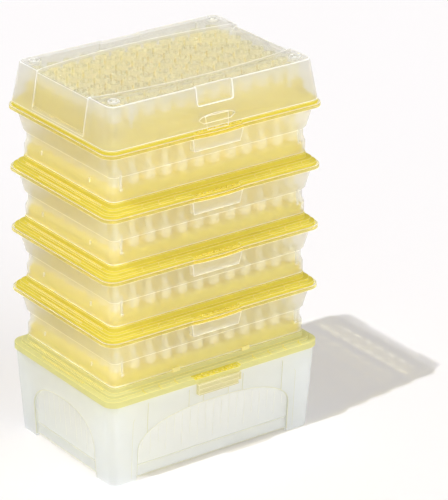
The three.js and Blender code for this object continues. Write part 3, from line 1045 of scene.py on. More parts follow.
@dataclass
class RackPlate:
    """A plate with a raised deck of tip holes and a stepped flange.

    Attributes:
        outline: The deck.
        edge_out: How far out the plate's edge lies.
        bottom: Level of the edge's lower side.
        is_base: Whether it is the base box's plate, which is paler and has clips.
        wall: Thickness of the plate.
        deck: Height of the deck.
        seat: Height of the step that the next tray stands on.
        seat_out: How far out that step reaches.
        step: Height of the step that centres the lid.
        step_out: How far out that step reaches.
        ledge: Height of the ledge.
        notch: Width of the latch's notch at its floor.
        notch_flare: How much further the notch's ends reach at its top.
        notch_depth: Depth of the notch.
        hole: Radius of a tip hole.
        pillar: Radius of the pillars at the deck's corners.
        pillar_inset: How far in from both edges they stand.
        long_bar: Half the length of the bar along each short side's step.
        short_bar: Half the length of the bar on each short side's ledge.
        clip_at: Distance of the clips from the middle.
        clip: Half the width of a clip.
    """

    outline: Outline
    edge_out: float
    bottom: float
    is_base: bool = False
    wall: float = 1.2
    deck: float = 12.8
    seat: float = 7.1
    seat_out: float = 2.1
    step: float = 4.8
    step_out: float = 4.4
    ledge: float = 3.2
    notch: float = 26.0
    notch_flare: float = 1.5
    notch_depth: float = 1.0
    hole: float = 2.8
    pillar: float = 2.7
    pillar_inset: float = 2.15
    long_bar: float = 31.0
    short_bar: float = 17.0
    clip_at: float = 20.0
    clip: float = 2.2

    draft = 0.2
    edge_round = 0.16
    extra_round = 0.15
    sunk = 0.3
    teeth_each_way = 3
    tooth_pitch = 3.4
    tooth = 0.8
    rib_pitch = 9.0
    rib = 0.3
    rib_rise = 0.22
    line = 0.18

    def shell(self, name: str) -> Piece:
        """Model the plate's stepped wall.

        Args:
            name: Name of the piece.

        Returns:
            The plate without holes.
        """
        wall = self.wall
        section = [
            (0.0, self.deck),
            (self.draft, self.seat),
            (self.seat_out, self.seat),
            (self.seat_out, self.step),
            (self.step_out, self.step),
            (self.step_out, self.ledge),
            (self.edge_out, self.ledge),
            (self.edge_out, self.bottom),
            (self.edge_out - wall, self.bottom),
            (self.edge_out - wall, self.ledge - wall),
            (self.step_out - wall, self.ledge - wall),
            (self.step_out - wall, self.step - wall),
            (self.seat_out - wall, self.step - wall),
            (self.seat_out - wall, self.seat - wall),
            (self.draft - wall, self.seat - wall),
            (-wall, self.deck - wall),
        ]
        return Bench.loft(name, self.outline.rings(section))

    def holes(self) -> Piece:
        """Model a cutter for all the tip holes.

        Returns:
            The cutter.
        """
        rack = TipRack()
        section = [(self.hole, self.deck - 2 * self.wall), (self.hole, self.deck + self.wall)]
        cutter = Bench.tube("holes", rack.first, section, 12, closed=False)
        rack.spread(cutter)
        return cutter

    def notches(self) -> Pieces:
        """Model cutters for the latch notches, wider at the top.

        Returns:
            One cutter for each long side.
        """
        floor, half = self.ledge - self.notch_depth, self.notch / 2
        top = half + self.notch_flare
        profile = [(-half, floor), (half, floor), (top, self.step), (-top, self.step)]
        cutters = []
        for side in LONG_SIDES:
            reach = self.outline.reach(side)
            near, far = flat(reach + self.step_out), flat(reach + self.edge_out + self.wall)
            cutters.append(Bench.panel("notch", side, profile, near, far))
        return cutters

    def teeth(self) -> Pieces:
        """Model the small teeth on the floor of each notch, every second one taller.

        Returns:
            The teeth.
        """
        floor = self.ledge - self.notch_depth
        pieces = []
        for side in LONG_SIDES:
            reach = self.outline.reach(side)
            outward = (reach + self.step_out - 0.2, reach + self.edge_out - 0.5)
            for number in range(-self.teeth_each_way, self.teeth_each_way + 1):
                at = number * self.tooth_pitch
                height = (floor - 0.4, floor + (0.45 if number % 2 else 0.75))
                pieces.append(Bench.block("tooth", side, at, self.tooth, outward, height))
        return pieces

    def ribs(self) -> Pieces:
        """Model the low ribs across the ledge and up the step, beside the notches.

        Returns:
            The ribs.
        """
        half = self.outline.half_length
        count = int(half // self.rib_pitch)
        places = [(number + 0.5) * self.rib_pitch for number in range(-count, count + 1)]
        pieces = []
        for side in LONG_SIDES:
            reach = self.outline.reach(side)
            root = reach + self.step_out - 0.2
            low, rise = (root, reach + self.edge_out - 0.15), self.rib_rise
            steep = (root, reach + self.step_out + rise)
            shapes = ((low, self.ledge - self.sunk, self.ledge + rise),)
            shapes += ((steep, self.ledge, self.step - 0.1),)
            for at in places:
                if not self.notch / 2 + 1 < abs(at) < half:
                    continue
                for outward, *height in shapes:
                    pieces.append(Bench.block("rib", side, at, self.rib, outward, height))
        return pieces

    def pillars(self) -> Pieces:
        """Model the round pillars at the deck's corners.

        Returns:
            The pillars.
        """
        section = [(self.pillar, self.seat - self.sunk), (self.pillar, self.deck - self.wall)]
        places = self.outline.corners(self.pillar_inset)
        return [Bench.tube("pillar", middle, section, 20, closed=False) for middle in places]

    def lines(self) -> Pieces:
        """Model the pale rings of the pillars, the bars on the short sides and the clips.

        Returns:
            The lines.
        """
        pieces = []
        for middle in self.outline.corners(self.pillar_inset):
            for level in (self.seat + 0.3, self.deck - 1.3):
                path = circle(middle, self.pillar, level, 16)
                pieces.append(Bench.bead(path, self.line, cyclic=True))
        for side in SHORT_SIDES:
            reach = self.outline.reach(side)
            shapes = (
                (self.long_bar, reach + self.seat_out + 0.9, self.step, 0.5),
                (self.short_bar, reach + self.step_out + 0.5, self.ledge, 0.7),
            )
            for half, near, level, rise in shapes:
                height = (level - self.sunk, level + rise)
                pieces.append(Bench.block("bar", side, 0.0, half, (near, near + 0.6), height))
        for side in LONG_SIDES if self.is_base else ():
            reach = self.outline.reach(side) + self.seat_out
            outward, height = (reach - 0.1, reach + 0.15), (self.seat - 0.4, self.seat + 1.7)
            for at in (-self.clip_at, self.clip_at):
                pieces.append(Bench.block("clip", side, at, self.clip, outward, height))
        return pieces

    def build(self, name: str) -> Piece:
        """Model the whole plate at its tier's level.

        Args:
            name: Name of the piece.

        Returns:
            The plate.
        """
        piece = self.shell(name)
        Bench.dress(Finish.YELLOW, piece)
        if self.is_base:
            Bench.paint(piece, "yellow_pale", lambda middle, _: middle.z < self.seat + 0.1)
        Bench.carve(piece, *self.notches())
        Bench.round_edges(piece, self.edge_round)
        Bench.carve(piece, self.holes())
        extras = [*self.teeth(), *self.ribs(), *self.pillars()]
        Bench.dress(Finish.YELLOW, *extras)
        Bench.fit(piece, Finish.YELLOW, extras, self.extra_round, self.lines())
        return piece


# ---- Refill trays ----


@dataclass
class RefillTray:
    """A frosted tray that carries a rack plate on its lip and stands on the plate below.

    Attributes:
        outline: The deck.
        wall: Thickness of the tray.
        lip_out: How far out the lip reaches.
        lip: Height of the lip.
        collar_out: How far out the collar starts, under the lip.
        collar_foot_out: How far out the collar ends.
        collar_foot: Level of the collar's foot.
        waist_top: Upper level of the waist.
        waist_bottom: Lower level of the waist.
        bead_bottom: Level where the skirt starts.
        skirt_out: How far out the skirt lies.
        skirt_bottom: Level of the skirt's lower edge.
        housing: Width of the latch housing.
        housing_taper: How much narrower each of its ends is at the bottom.
        housing_drop: How far down the housing reaches.
        housing_out: How far out the housing reaches.
        bulge: How far the lip arches out over the housing.
        hook_at: Distance of the hooks on the long sides from the middle.
        tick_at: Distance of the snap ticks on the short sides from the middle.
    """

    outline: Outline
    wall: float = 0.9
    lip_out: float = 7.4
    lip: float = 2.0
    collar_out: float = 4.5
    collar_foot_out: float = 2.1
    collar_foot: float = -10.2
    waist_top: float = -11.7
    waist_bottom: float = -15.3
    bead_bottom: float = -17.6
    skirt_out: float = 1.8
    skirt_bottom: float = -23.2
    housing: float = 28.0
    housing_taper: float = 1.2
    housing_drop: float = 6.8
    housing_out: float = 6.6
    bulge: float = 1.2
    hook_at: float = 49.9
    tick_at: float = 19.7

    edge_round = 0.22
    extra_round = 0.18
    bow_steps = 12
    lip_tint = 0.5
    bead_inset = 0.18

    def ring_wall(self, name: str) -> Piece:
        """Model the wall that runs all around the tray.

        Args:
            name: Name of the piece.

        Returns:
            The wall.
        """
        wall = self.wall
        section = [
            (self.lip_out, self.lip),
            (self.lip_out, 0.0),
            (self.collar_out, 0.0),
            (self.collar_foot_out, self.collar_foot),
            (wall, self.waist_top),
            (wall, self.waist_bottom),
            (self.skirt_out, self.bead_bottom),
            (self.skirt_out, self.skirt_bottom),
            (self.skirt_out - wall, self.skirt_bottom),
            (self.skirt_out - wall, self.bead_bottom),
            (0.0, self.waist_bottom),
            (0.0, self.waist_top),
            (self.collar_foot_out - wall, self.collar_foot),
            (self.collar_out - wall, wall),
            (self.lip_out - wall, wall),
            (self.lip_out - wall, self.lip),
        ]
        return Bench.loft(name, self.outline.rings(section), capped=False, closed=True)

    def slots(self) -> Pieces:
        """Model cutters that open the straight lip behind each bulge.

        Returns:
            One cutter for each long side.
        """
        wall, half = self.wall, self.housing / 2 - self.wall
        cutters = []
        for side in LONG_SIDES:
            lip = self.outline.reach(side) + self.lip_out
            outward, height = (lip - 1.3 * wall, lip + wall), (wall, self.lip + wall)
            cutters.append(Bench.block("slot", side, 0.0, half, outward, height))
        return cutters

    def bow(self, side: Side) -> Profile:
        """The outer line of the part of the lip that arches out over a housing.

        Args:
            side: The side.

        Returns:
            The line as distance along the side and outwards.
        """
        half, steps = self.housing / 2, self.bow_steps
        reach = self.outline.reach(side) + self.lip_out
        shares = [2 * i / steps - 1 for i in range(steps + 1)]
        return [(share * half, reach + self.bulge * (1 - share**2)) for share in shares]

    def bulges(self) -> Pieces:
        """Model the part of the lip that arches out over each housing.

        Returns:
            One bulge for each long side.
        """
        pieces = []
        for side in LONG_SIDES:
            outer = self.bow(side)
            plan = outer + [(u, w - self.wall) for u, w in reversed(outer)]
            rings = [[side.place(u, w, level) for u, w in plan] for level in (0.0, self.lip)]
            pieces.append(Bench.loft("bulge", rings))
        return pieces

    def housings(self) -> Pieces:
        """Model the two latch housings.

        Returns:
            For each long side, a front with two ends, and a floor.
        """
        half, wall = self.housing / 2, self.wall
        taper, low = self.housing_taper, -self.housing_drop
        pieces = []
        for side in LONG_SIDES:
            reach = self.outline.reach(side)
            root, face = reach + self.collar_foot_out + 0.4, reach + self.housing_out
            rings = []
            for level, inset in ((low, taper), (0.2, 0.0)):
                end, front = half - inset, face - inset / 2
                plan = [(-end, root), (-end, front), (end, front), (end, root)]
                plan += [(end - wall, root), (end - wall, front - wall)]
                plan += [(wall - end, front - wall), (wall - end, root)]
                rings.append([side.place(u, w, level) for u, w in plan])
            pieces.append(Bench.loft("housing", rings))
            outward, height = (root, face - taper / 2), (low, low + wall)
            pieces.append(Bench.block("floor", side, 0.0, half - taper, outward, height))
        return pieces

    def marks(self) -> Pieces:
        """Model the corner hooks and the snap ticks.

        Returns:
            The hooks of the long sides and the ticks of the short ones.
        """
        low, foot = self.waist_bottom, self.bead_bottom
        pieces = []
        for side in LONG_SIDES:
            reach = self.outline.reach(side)
            for at in (-self.hook_at, self.hook_at):
                outward, height = (reach + 0.5, reach + 1.9), (low - 2.4, self.collar_foot + 2.0)
                pieces.append(Bench.block("hook", side, at, 0.4, outward, height))
                outward, height = (reach + 1.2, reach + 2.1), (low - 3.0, low - 2.0)
                pieces.append(Bench.block("hook", side, at, 0.8, outward, height))
        for side in SHORT_SIDES:
            skirt = self.outline.reach(side) + self.skirt_out
            outward, height = (skirt - 0.3, skirt + 0.5), (foot - 0.6, foot + 1.6)
            for at in (-self.tick_at, self.tick_at):
                pieces.append(Bench.block("tick", side, at, 0.4, outward, height))
        return pieces

    def beads(self) -> Pieces:
        """Model the beads along the lip, the skirt's foot, the housings and the bulges, which
        take the paler edge finish as painted highlight lines.

        Returns:
            The beads.
        """
        spots = [(self.lip_out, 0.15), (self.skirt_out, self.skirt_bottom + 0.22)]
        paths = self.outline.rings([(out - self.bead_inset, level) for out, level in spots])
        pieces = [Bench.bead(path, 0.16, cyclic=True) for path in paths]
        half, taper, foot = self.housing / 2, self.housing_taper, 0.2 - self.housing_drop
        for side in LONG_SIDES:
            face = self.outline.reach(side) + self.housing_out
            upper, lower = face - 0.1, face - taper / 2 - 0.1
            knots = [(-half, upper, 0.0), (taper - half, lower, foot)]
            knots += [(half - taper, lower, foot), (half, upper, 0.0)]
            pieces.append(Bench.bead([side.place(*knot) for knot in knots], 0.24))
            path = [side.place(u, w - self.bead_inset, 0.2) for u, w in self.bow(side)]
            pieces.append(Bench.bead(path, 0.22))
        return pieces

    def build(self, name: str) -> Piece:
        """Model the whole tray at its tier's level.

        Args:
            name: Name of the piece.

        Returns:
            The tray.
        """
        piece = self.ring_wall(name)
        extras = [*self.bulges(), *self.housings(), *self.marks()]
        Bench.dress(Finish.TRAY, piece, *extras)
        tint = self.lip_tint
        Bench.paint(piece, "tray_lip", lambda spot, way: spot.z > tint and abs(way.z) < 0.5)
        for extra in extras:
            Bench.paint(extra, "tray_lip", lambda spot, _: spot.z > tint)
        Bench.carve(piece, *self.slots())
        Bench.round_edges(piece, self.edge_round)
        Bench.fit(piece, Finish.TRAY, extras, self.extra_round, self.beads())
        return piece


# ---- Base box and lid ----


@dataclass
class LeaningWalls:
    """What the base box and the lid share: walls that lean evenly.

    Attributes:
        outline: The plan, measured out from the deck's edge.
    """

    outline: Outline

    def out(self, level: float) -> float:
        """How far out the wall's face lies at a height."""
        raise NotImplementedError

    def face(self, side: Side, inset: float) -> Reach:
        """Distance from the middle plane of a plane parallel to one wall's face."""
        reach = self.outline.reach(side)
        return lambda level: reach + self.out(level) - inset


@dataclass
class BaseBox(LeaningWalls):
    """The clear box at the foot of the stack.

    Attributes:
        height: Level of the box's shoulder, under the plate.
        rim_top: Level of the rim inside the plate.
        rim_out: How far out the rim lies.
        rim_sunk: How far below the shoulder the rim starts.
        foot_out: How far out the wall stands at the floor.
        draft: How much further out it stands at the top.
        draft_height: Height that the draft is measured over.
        wall: Thickness of the wall.
        floor: Underside of the raised floor.
        foot: Height of the feet.
        foot_length: Length of a foot along each side.
        arch_depth: Depth of the arched panels.
        arch_spring: Height where an arch starts to curve.
        arch_crown: Height of an arch.
        flute_pitch: Distance between two of the fine upright lines in an arched panel.
        flute_bottom: Lower end of the longer lines.
        flute_stagger: How much higher the shorter lines end.
        corner_line: Distance of the bent lines beside the long sides' arches from the middle.
        catch: Half the width of a latch catch.
        catch_low: Lower level of a catch.
        catch_top: Upper level of a catch.
        catch_out: How far out a catch starts.
        catch_depth: How far it stands off from there.
    """

    height: float = 42.1
    rim_top: float = 44.1
    rim_out: float = 5.9
    rim_sunk: float = 0.6
    foot_out: float = 3.9
    draft: float = 2.8
    draft_height: float = 42.4
    wall: float = 1.2
    floor: float = 4.5
    foot: float = 1.3
    foot_length: float = 13.5
    arch_depth: float = 1.2
    arch_spring: float = 16.5
    arch_crown: float = 31.5
    flute_pitch: float = 4.5
    flute_bottom: float = 11.0
    flute_stagger: float = 5.0
    corner_line: float = 47.0
    catch: float = 11.5
    catch_low: float = 36.6
    catch_top: float = 42.0
    catch_out: float = 6.3
    catch_depth: float = 2.1

    edge_round = 0.35
    rim_round = 0.2
    catch_round = 0.15
    arch_steps = 28
    arch_power = 0.8
    cut_margin = 1.0
    line_shares = (-0.887, -0.355, -0.165, 0.165, 0.355, 0.887)
    lip_levels = (36.6, 39.0, 41.3)

    def out(self, level: float) -> float:
        """How far out the wall's face lies at a height."""
        return self.foot_out + self.draft * level / self.draft_height

    def half(self, side: Side) -> float:
        """Half the width of the arched panel on one side."""
        return self.outline.span(side) + (self.foot_out - self.foot_length)

    def crown(self, share: float) -> float:
        """Height of an arch at a share of its half width."""
        rise = self.arch_crown - self.arch_spring
        return self.arch_spring + rise * math.sqrt(1 - share**2)

    def arch(self, side: Side, low: float) -> Profile:
        """Outline of the arched panel on one side.

        Args:
            side: The side.
            low: Level of its lower edge.

        Returns:
            The outline as distance along the side and height.
        """
        half, rise = self.half(side), self.arch_crown - self.arch_spring
        profile = [(-half, low)]
        for step in range(self.arch_steps + 1):
            angle = math.pi * (1 - step / self.arch_steps)
            share = math.copysign(abs(math.cos(angle)) ** self.arch_power, math.cos(angle))
            profile.append((half * share, self.arch_spring + rise * math.sin(angle)))
        profile.append((half, low))
        return profile

    def is_panel(self, place: Vector) -> bool:
        """Tell whether a place lies on one of the arched panels.

        Args:
            place: The place.

        Returns:
            Whether it does.
        """
        depth = self.arch_depth
        gaps = [abs(side.distance(place) - self.face(side, depth)(place.z)) for side in Side]
        return min(gaps) < 0.05

    def shell(self) -> Piece:
        """Model the walls with their arched panels, open at the top and the bottom.

        Returns:
            The dressed walls.
        """
        section = [(self.out(level), level) for level in (0.0, self.height)]
        piece = Bench.loft("base_box", self.outline.rings(section))
        for side in Side:
            near, far = self.face(side, self.arch_depth), self.face(side, -3.0)
            profile = self.arch(side, -self.cut_margin)
            Bench.carve(piece, Bench.panel("arch", side, profile, near, far))
        Bench.dress(Finish.BASE, piece)
        Bench.paint(piece, "base_panel", lambda place, _: self.is_panel(place))
        Bench.hollow(piece, self.wall, 0.0, self.height)
        return piece

    def foot_cuts(self) -> Pieces:
        """Model cutters that leave the walls standing on four feet.

        Returns:
            One cutter along the box and one across.
        """
        cutters = []
        for side in (Side.FRONT, Side.RIGHT):
            reach = self.outline.reach(side) + self.foot_out + 5.0
            outward, height = (-reach, reach), (-self.cut_margin, self.foot)
            cutters.append(Bench.block("gap", side, 0.0, self.half(side), outward, height))
        return cutters

    def rim_and_floor(self) -> Pieces:
        """Model the rim inside the plate and the raised floor.

        Returns:
            Both pieces, dressed.
        """
        low, inner = self.height - self.rim_sunk, self.rim_out - self.wall
        section = [(self.rim_out, low), (self.rim_out, self.rim_top)]
        section += [(inner, self.rim_top), (inner, low)]
        rim = Bench.loft("rim", self.outline.rings(section), capped=False, closed=True)
        inset = self.arch_depth + self.wall * 0.6
        levels = (self.floor, self.floor + self.wall)
        section = [(self.out(level) - inset, level) for level in levels]
        floor = Bench.loft("floor", self.outline.rings(section))
        Bench.dress(Finish.BASE, rim)
        Bench.dress(Finish.BASE, floor, edges=True)
        return [rim, floor]

    def flutes(self, side: Side, face: Reach) -> Pieces:
        """Model the fine upright lines in one arched panel, in turn longer and shorter.

        Args:
            side: The side.
            face: Distance of the panel from the middle plane, at a height.

        Returns:
            The lines.
        """
        half = self.half(side)
        count = int(half / self.flute_pitch)
        pieces = []
        for number in range(-count, count + 1):
            at = number * self.flute_pitch
            low = self.flute_bottom + (number % 2) * self.flute_stagger
            high = self.crown(at / half) - 1.5
            if high > low:
                pieces.append(Bench.stroke(side, face, [(at, low), (at, high)], 0.09))
        return pieces

    def beads(self) -> Pieces:
        """Model the beads around the arched panels and the thin lines on the walls.

        Returns:
            The beads.
        """
        pieces = []
        for side in Side:
            path = self.arch(side, self.foot)
            pieces.append(Bench.stroke(side, self.face(side, 0.25), path, 0.32))
        for side in LONG_SIDES:
            face, end = self.face(side, 0.1), self.corner_line
            for turn in (-1, 1):
                knots = [(turn * end, 2.0), (turn * end, 32.0), (turn * (end - 0.8), 33.4)]
                pieces.append(Bench.stroke(side, face, knots, 0.18))
            for share in self.line_shares:
                at = share * self.half(side)
                knots = [(at, self.crown(share) + 0.5), (at, self.height - 2.0)]
                pieces.append(Bench.stroke(side, face, knots, 0.28))
        for side in Side:
            face, end = self.face(side, self.arch_depth + 0.05), self.half(side) - 0.5
            for level in (self.foot + 0.3, self.floor + 3.0):
                pieces.append(Bench.stroke(side, face, [(-end, level), (end, level)], 0.2))
            pieces += self.flutes(side, face)
        return pieces

    def catches(self) -> Piece:
        """Model the two latch catches under the plate's rim.

        Returns:
            Both catches, as one piece.
        """
        top, half = self.catch_top, self.catch
        pieces = []
        for side in LONG_SIDES:
            back = self.outline.reach(side) + self.catch_out
            front = back + self.catch_depth
            height = (self.catch_low, top)
            pieces.append(Bench.block("catch", side, 0.0, half, (back, front), height))
            for level in self.lip_levels:
                lip, height = (front - 0.2, front + 0.3), (level, level + 0.7)
                pieces.append(Bench.block("lip", side, 0.0, half, lip, height))
            along, boss = (half - 0.2, half + 1.9), (back, front - 0.4)
            pieces.append(Bench.bar("boss", side, along, boss, (self.catch_low + 1.6, top)))
        Bench.dress(Finish.CATCH, *pieces)
        Bench.round_edges(pieces[0], self.catch_round)
        Bench.fit(pieces[0], Finish.CATCH, pieces[1:], self.catch_round, [])
        return pieces[0]

    def build(self) -> Piece:
        """Model the whole box.

        Returns:
            The base box.
        """
        piece = self.shell()
        Bench.carve(piece, *self.foot_cuts())
        Bench.round_edges(piece, self.edge_round)
        Bench.fit(piece, Finish.BASE, self.rim_and_floor(), self.rim_round, self.beads())
        return piece


@dataclass
class Lid(LeaningWalls):
    """The frosted lid, with a channel over its top and finger grips.

    Attributes:
        bottom: Level of the lower edge.
        top: Level of the top.
        foot_out: How far out the wall stands at the bottom.
        draft: How much further in it stands at the top.
        wall: Thickness of the wall.
        channel: Depth of the channel over the top.
        panel: Depth of the panels down both ends.
        panel_low: Lower level of those panels.
        channel_end: Width of the raised strips at the ends.
        channel_middle: Width of the raised strips in the middle.
        grip: Half the width of a finger grip.
        grip_height: Height of a finger grip.
        grip_depth: Depth of a finger grip.
        grip_bend: Radius of its lower corners.
        back_line: Level that the line around the grip at the back goes down to.
        eye: Half the width of the oval recess behind a latch tab.
        eye_height: Half the height of that recess.
        eye_middle: Level of its middle.
        tab: Half the width of a latch tab's outline at its top.
        tab_low: Lower level of the tab's outline.
        tab_high: Upper level of the tab's outline.
        rib_at: Distance of the inner ribs from the middle.
        nub_inset: How far in from the wall's top both ways the nubs stand.
    """

    bottom: float = 3.5
    top: float = 23.0
    foot_out: float = 6.2
    draft: float = 3.3
    wall: float = 1.2
    channel: float = 1.2
    panel: float = 0.8
    panel_low: float = 6.3
    channel_end: float = 17.4
    channel_middle: float = 11.7
    grip: float = 10.0
    grip_height: float = 9.0
    grip_depth: float = 1.2
    grip_bend: float = 1.4
    back_line: float = 2.6
    eye: float = 10.0
    eye_height: float = 2.2
    eye_middle: float = 7.4
    tab: float = 6.35
    tab_low: float = 2.6
    tab_high: float = 8.9
    rib_at: float = 44.0
    nub_inset: float = 6.0

    edge_round = 0.45
    extra_round = 0.2
    steps = 16
    eye_cut = 0.75
    cut_margin = 2.0
    roof_depth = 4.0

    def out(self, level: float) -> float:
        """How far out the wall's face lies at a height."""
        return self.foot_out - self.draft * (level - self.bottom) / (self.top - self.bottom)

    @property
    def strip(self) -> float:
        """Distance of the channel's edges from the middle plane, at its ends."""
        return self.outline.half_width + self.out(self.top) - self.channel_end

    def channel_plan(self) -> Profile:
        """Plan of the channel between two strips that narrow towards the middle.

        Returns:
            The front edge from left to right, then the back edge from right to left.
        """
        half, end = self.outline.half_length + self.foot_out + 1.0, self.strip
        middle = self.outline.half_width + self.out(self.top) - self.channel_middle
        shares = [2 * i / self.steps - 1 for i in range(self.steps + 1)]
        near = [(t * half, -(end + (middle - end) * (1 - t * t))) for t in shares]
        return near + [(x, -y) for x, y in reversed(near)]

    def oval(self) -> Profile:
        """Outline of the recess behind a latch tab.

        Returns:
            The outline as distance along the side and height.
        """
        turns = [math.pi * i / self.steps for i in range(self.steps + 1)]
        across, up, middle = self.eye, self.eye_height, self.eye_middle
        upper = [(across * math.cos(t), middle + up * math.sin(t)) for t in turns]
        low, end = middle - up * self.eye_cut, self.eye_cut * across
        return [*upper, (-end, low), (end, low)]

    def cutters(self) -> Pieces:
        """Model the cutters for the channel, the end panels, the grips and the eyes.

        Returns:
            The cutters.
        """
        above = self.top + self.cut_margin
        levels, plan = (self.top - self.channel, above), self.channel_plan()
        pieces = [Bench.loft("channel", [[(x, y, z) for x, y in plan] for z in levels])]
        half, low = self.strip, self.panel_low
        profile = [(-half, low), (half, low), (half, above), (-half, above)]
        for side in SHORT_SIDES:
            near, far = self.face(side, self.panel), self.face(side, -3.0)
            pieces.append(Bench.panel("end", side, profile, near, far))
        half, low = self.grip, self.top - self.grip_height
        profile = [(-half, low), (half, low), (half, above), (-half, above)]
        for side in LONG_SIDES:
            depth = self.outline.reach(side) + self.out(self.top) - self.grip_depth
            pieces.append(Bench.panel("grip", side, profile, flat(depth), self.face(side, -4.0)))
            near, far = self.face(side, 1.0), self.face(side, -3.0)
            pieces.append(Bench.panel("eye", side, self.oval(), near, far))
        return pieces

    def shell(self) -> Piece:
        """Model the lid's wall with its recesses.

        Returns:
            The dressed wall.
        """
        bend = self.top - 0.5
        section = [(self.foot_out, self.bottom), (self.out(bend), bend)]
        section.append((self.out(self.top) - 0.5, self.top))
        piece = Bench.loft("lid", self.outline.rings(section))
        Bench.carve(piece, *self.cutters())
        Bench.hollow(piece, self.wall, self.bottom)
        Bench.dress(Finish.LID, piece)
        roof = self.top - self.roof_depth
        # The top faces take a clearer finish whose darker colour is painted shade on the top.
        Bench.paint(piece, "lid_roof_shaded", lambda spot, way: spot.z > roof and abs(way.z) > 0.9)
        return piece

    def fittings(self) -> Pieces:
        """Model the inner ribs and the ringed nubs on the top.

        Returns:
            The ribs and the nubs, dressed.
        """
        top, low = self.top, self.top - 0.4
        pieces = []
        for side in LONG_SIDES:
            reach = self.outline.reach(side) + self.out(top)
            outward, height = (reach - 2.6, reach - 1.0), (top - 12.0, top - 1.5)
            for at in (-self.rib_at, self.rib_at):
                pieces.append(Bench.block("rib", side, at, 0.4, outward, height))
        ringed = [(2.9, low), (2.7, top + 0.75), (2.1, top + 0.75), (1.9, top + 0.1), (1.9, low)]
        pip = [(1.0, low), (0.8, top + 0.6)]
        for middle in self.outline.corners(self.nub_inset - self.out(top)):
            pieces.append(Bench.tube("nub", middle, ringed, 24, closed=True))
            pieces.append(Bench.tube("pip", middle, pip, 16, closed=False))
        Bench.dress(Finish.LID, *pieces)
        return pieces

    def strip_edge(self, turn: int) -> list[Point]:
        """Path along the outer edge of one raised strip, from end to end.

        Args:
            turn: 1 for the strip at the front, -1 for the one at the back.

        Returns:
            The path.
        """
        corner, u = self.outline.steps + 1, self.grip
        out, level = self.out(self.top) - 0.3, self.top - 0.25
        ring = self.outline.ring(out, level)
        x, front = self.outline.half_length + out, -(self.outline.half_width + out)
        inner = front + self.grip_depth
        path = [(-x, -self.strip, level), *ring[2 * corner : 3 * corner]]
        path += [(-u, front, level), (-u, inner, level), (u, inner, level), (u, front, level)]
        path += [*ring[3 * corner :], (x, -self.strip, level)]
        return [(turn * x, turn * y, z) for x, y, z in path]

    def roof_beads(self) -> Pieces:
        """Model the beads along the raised strips and down both ends, which paint bright
        highlight lines.

        Returns:
            The beads.
        """
        plan = self.channel_plan()
        count = len(plan) // 2
        limit = self.outline.half_length + self.out(self.top) - 0.3
        pieces = []
        for turn, strip in ((1, plan[:count]), (-1, plan[count:])):
            pieces.append(Bench.bead(self.strip_edge(turn), 0.25))
            path = [(min(max(x, -limit), limit), y, self.top - 0.1) for x, y in strip]
            pieces.append(Bench.bead(path, 0.15))
        half, low, high = self.strip, 4.9, self.top - 0.3
        sunk = self.top - self.channel - 0.1
        for side in SHORT_SIDES:
            knots = [(-half, high), (-half, low), (half, low), (half, high)]
            pieces.append(Bench.stroke(side, self.face(side, 0.1), knots, 0.2))
            knots = [(-half, sunk), (half, sunk)]
            pieces.append(Bench.stroke(side, self.face(side, self.panel), knots, 0.15))
        return pieces

    def front_beads(self) -> Pieces:
        """Model the outlines of the grips, the eyes and the latch tabs, and the foot's bead, as
        beads that paint bright highlight lines.

        Returns:
            The beads.
        """
        u, bend = self.grip, self.grip_bend
        turns = [i * math.pi / 8 for i in range(5)]
        foot, tab = self.tab - 0.6, self.tab
        low, high = self.tab_low, self.tab_high
        outline = [(-foot, low), (foot, low), (tab, high), (-tab, high)]
        pieces = []
        for side, level in zip(LONG_SIDES, (self.top - self.grip_height, self.back_line)):
            middle = level + bend
            grip = [(-u, self.top - 0.4)]
            grip += [(bend - u - bend * math.cos(t), middle - bend * math.sin(t)) for t in turns]
            grip += [(-along, height) for along, height in reversed(grip)]
            pieces.append(Bench.stroke(side, self.face(side, 0.15), grip, 0.3))
            face = self.face(side, 0.05)
            pieces.append(Bench.stroke(side, face, self.oval(), 0.13, cyclic=True))
            pieces.append(Bench.stroke(side, face, outline, 0.16, cyclic=True))
        path = self.outline.ring(self.foot_out - 0.12, self.bottom + 0.25)
        return [*pieces, Bench.bead(path, 0.15, cyclic=True)]

    def build(self) -> Piece:
        """Model the whole lid at the top tier's level.

        Returns:
            The lid.
        """
        piece = self.shell()
        Bench.round_edges(piece, self.edge_round)
        beads = [*self.roof_beads(), *self.front_beads()]
        Bench.fit(piece, Finish.LID, self.fittings(), self.extra_round, beads)
        return piece


# ---- The stack ----


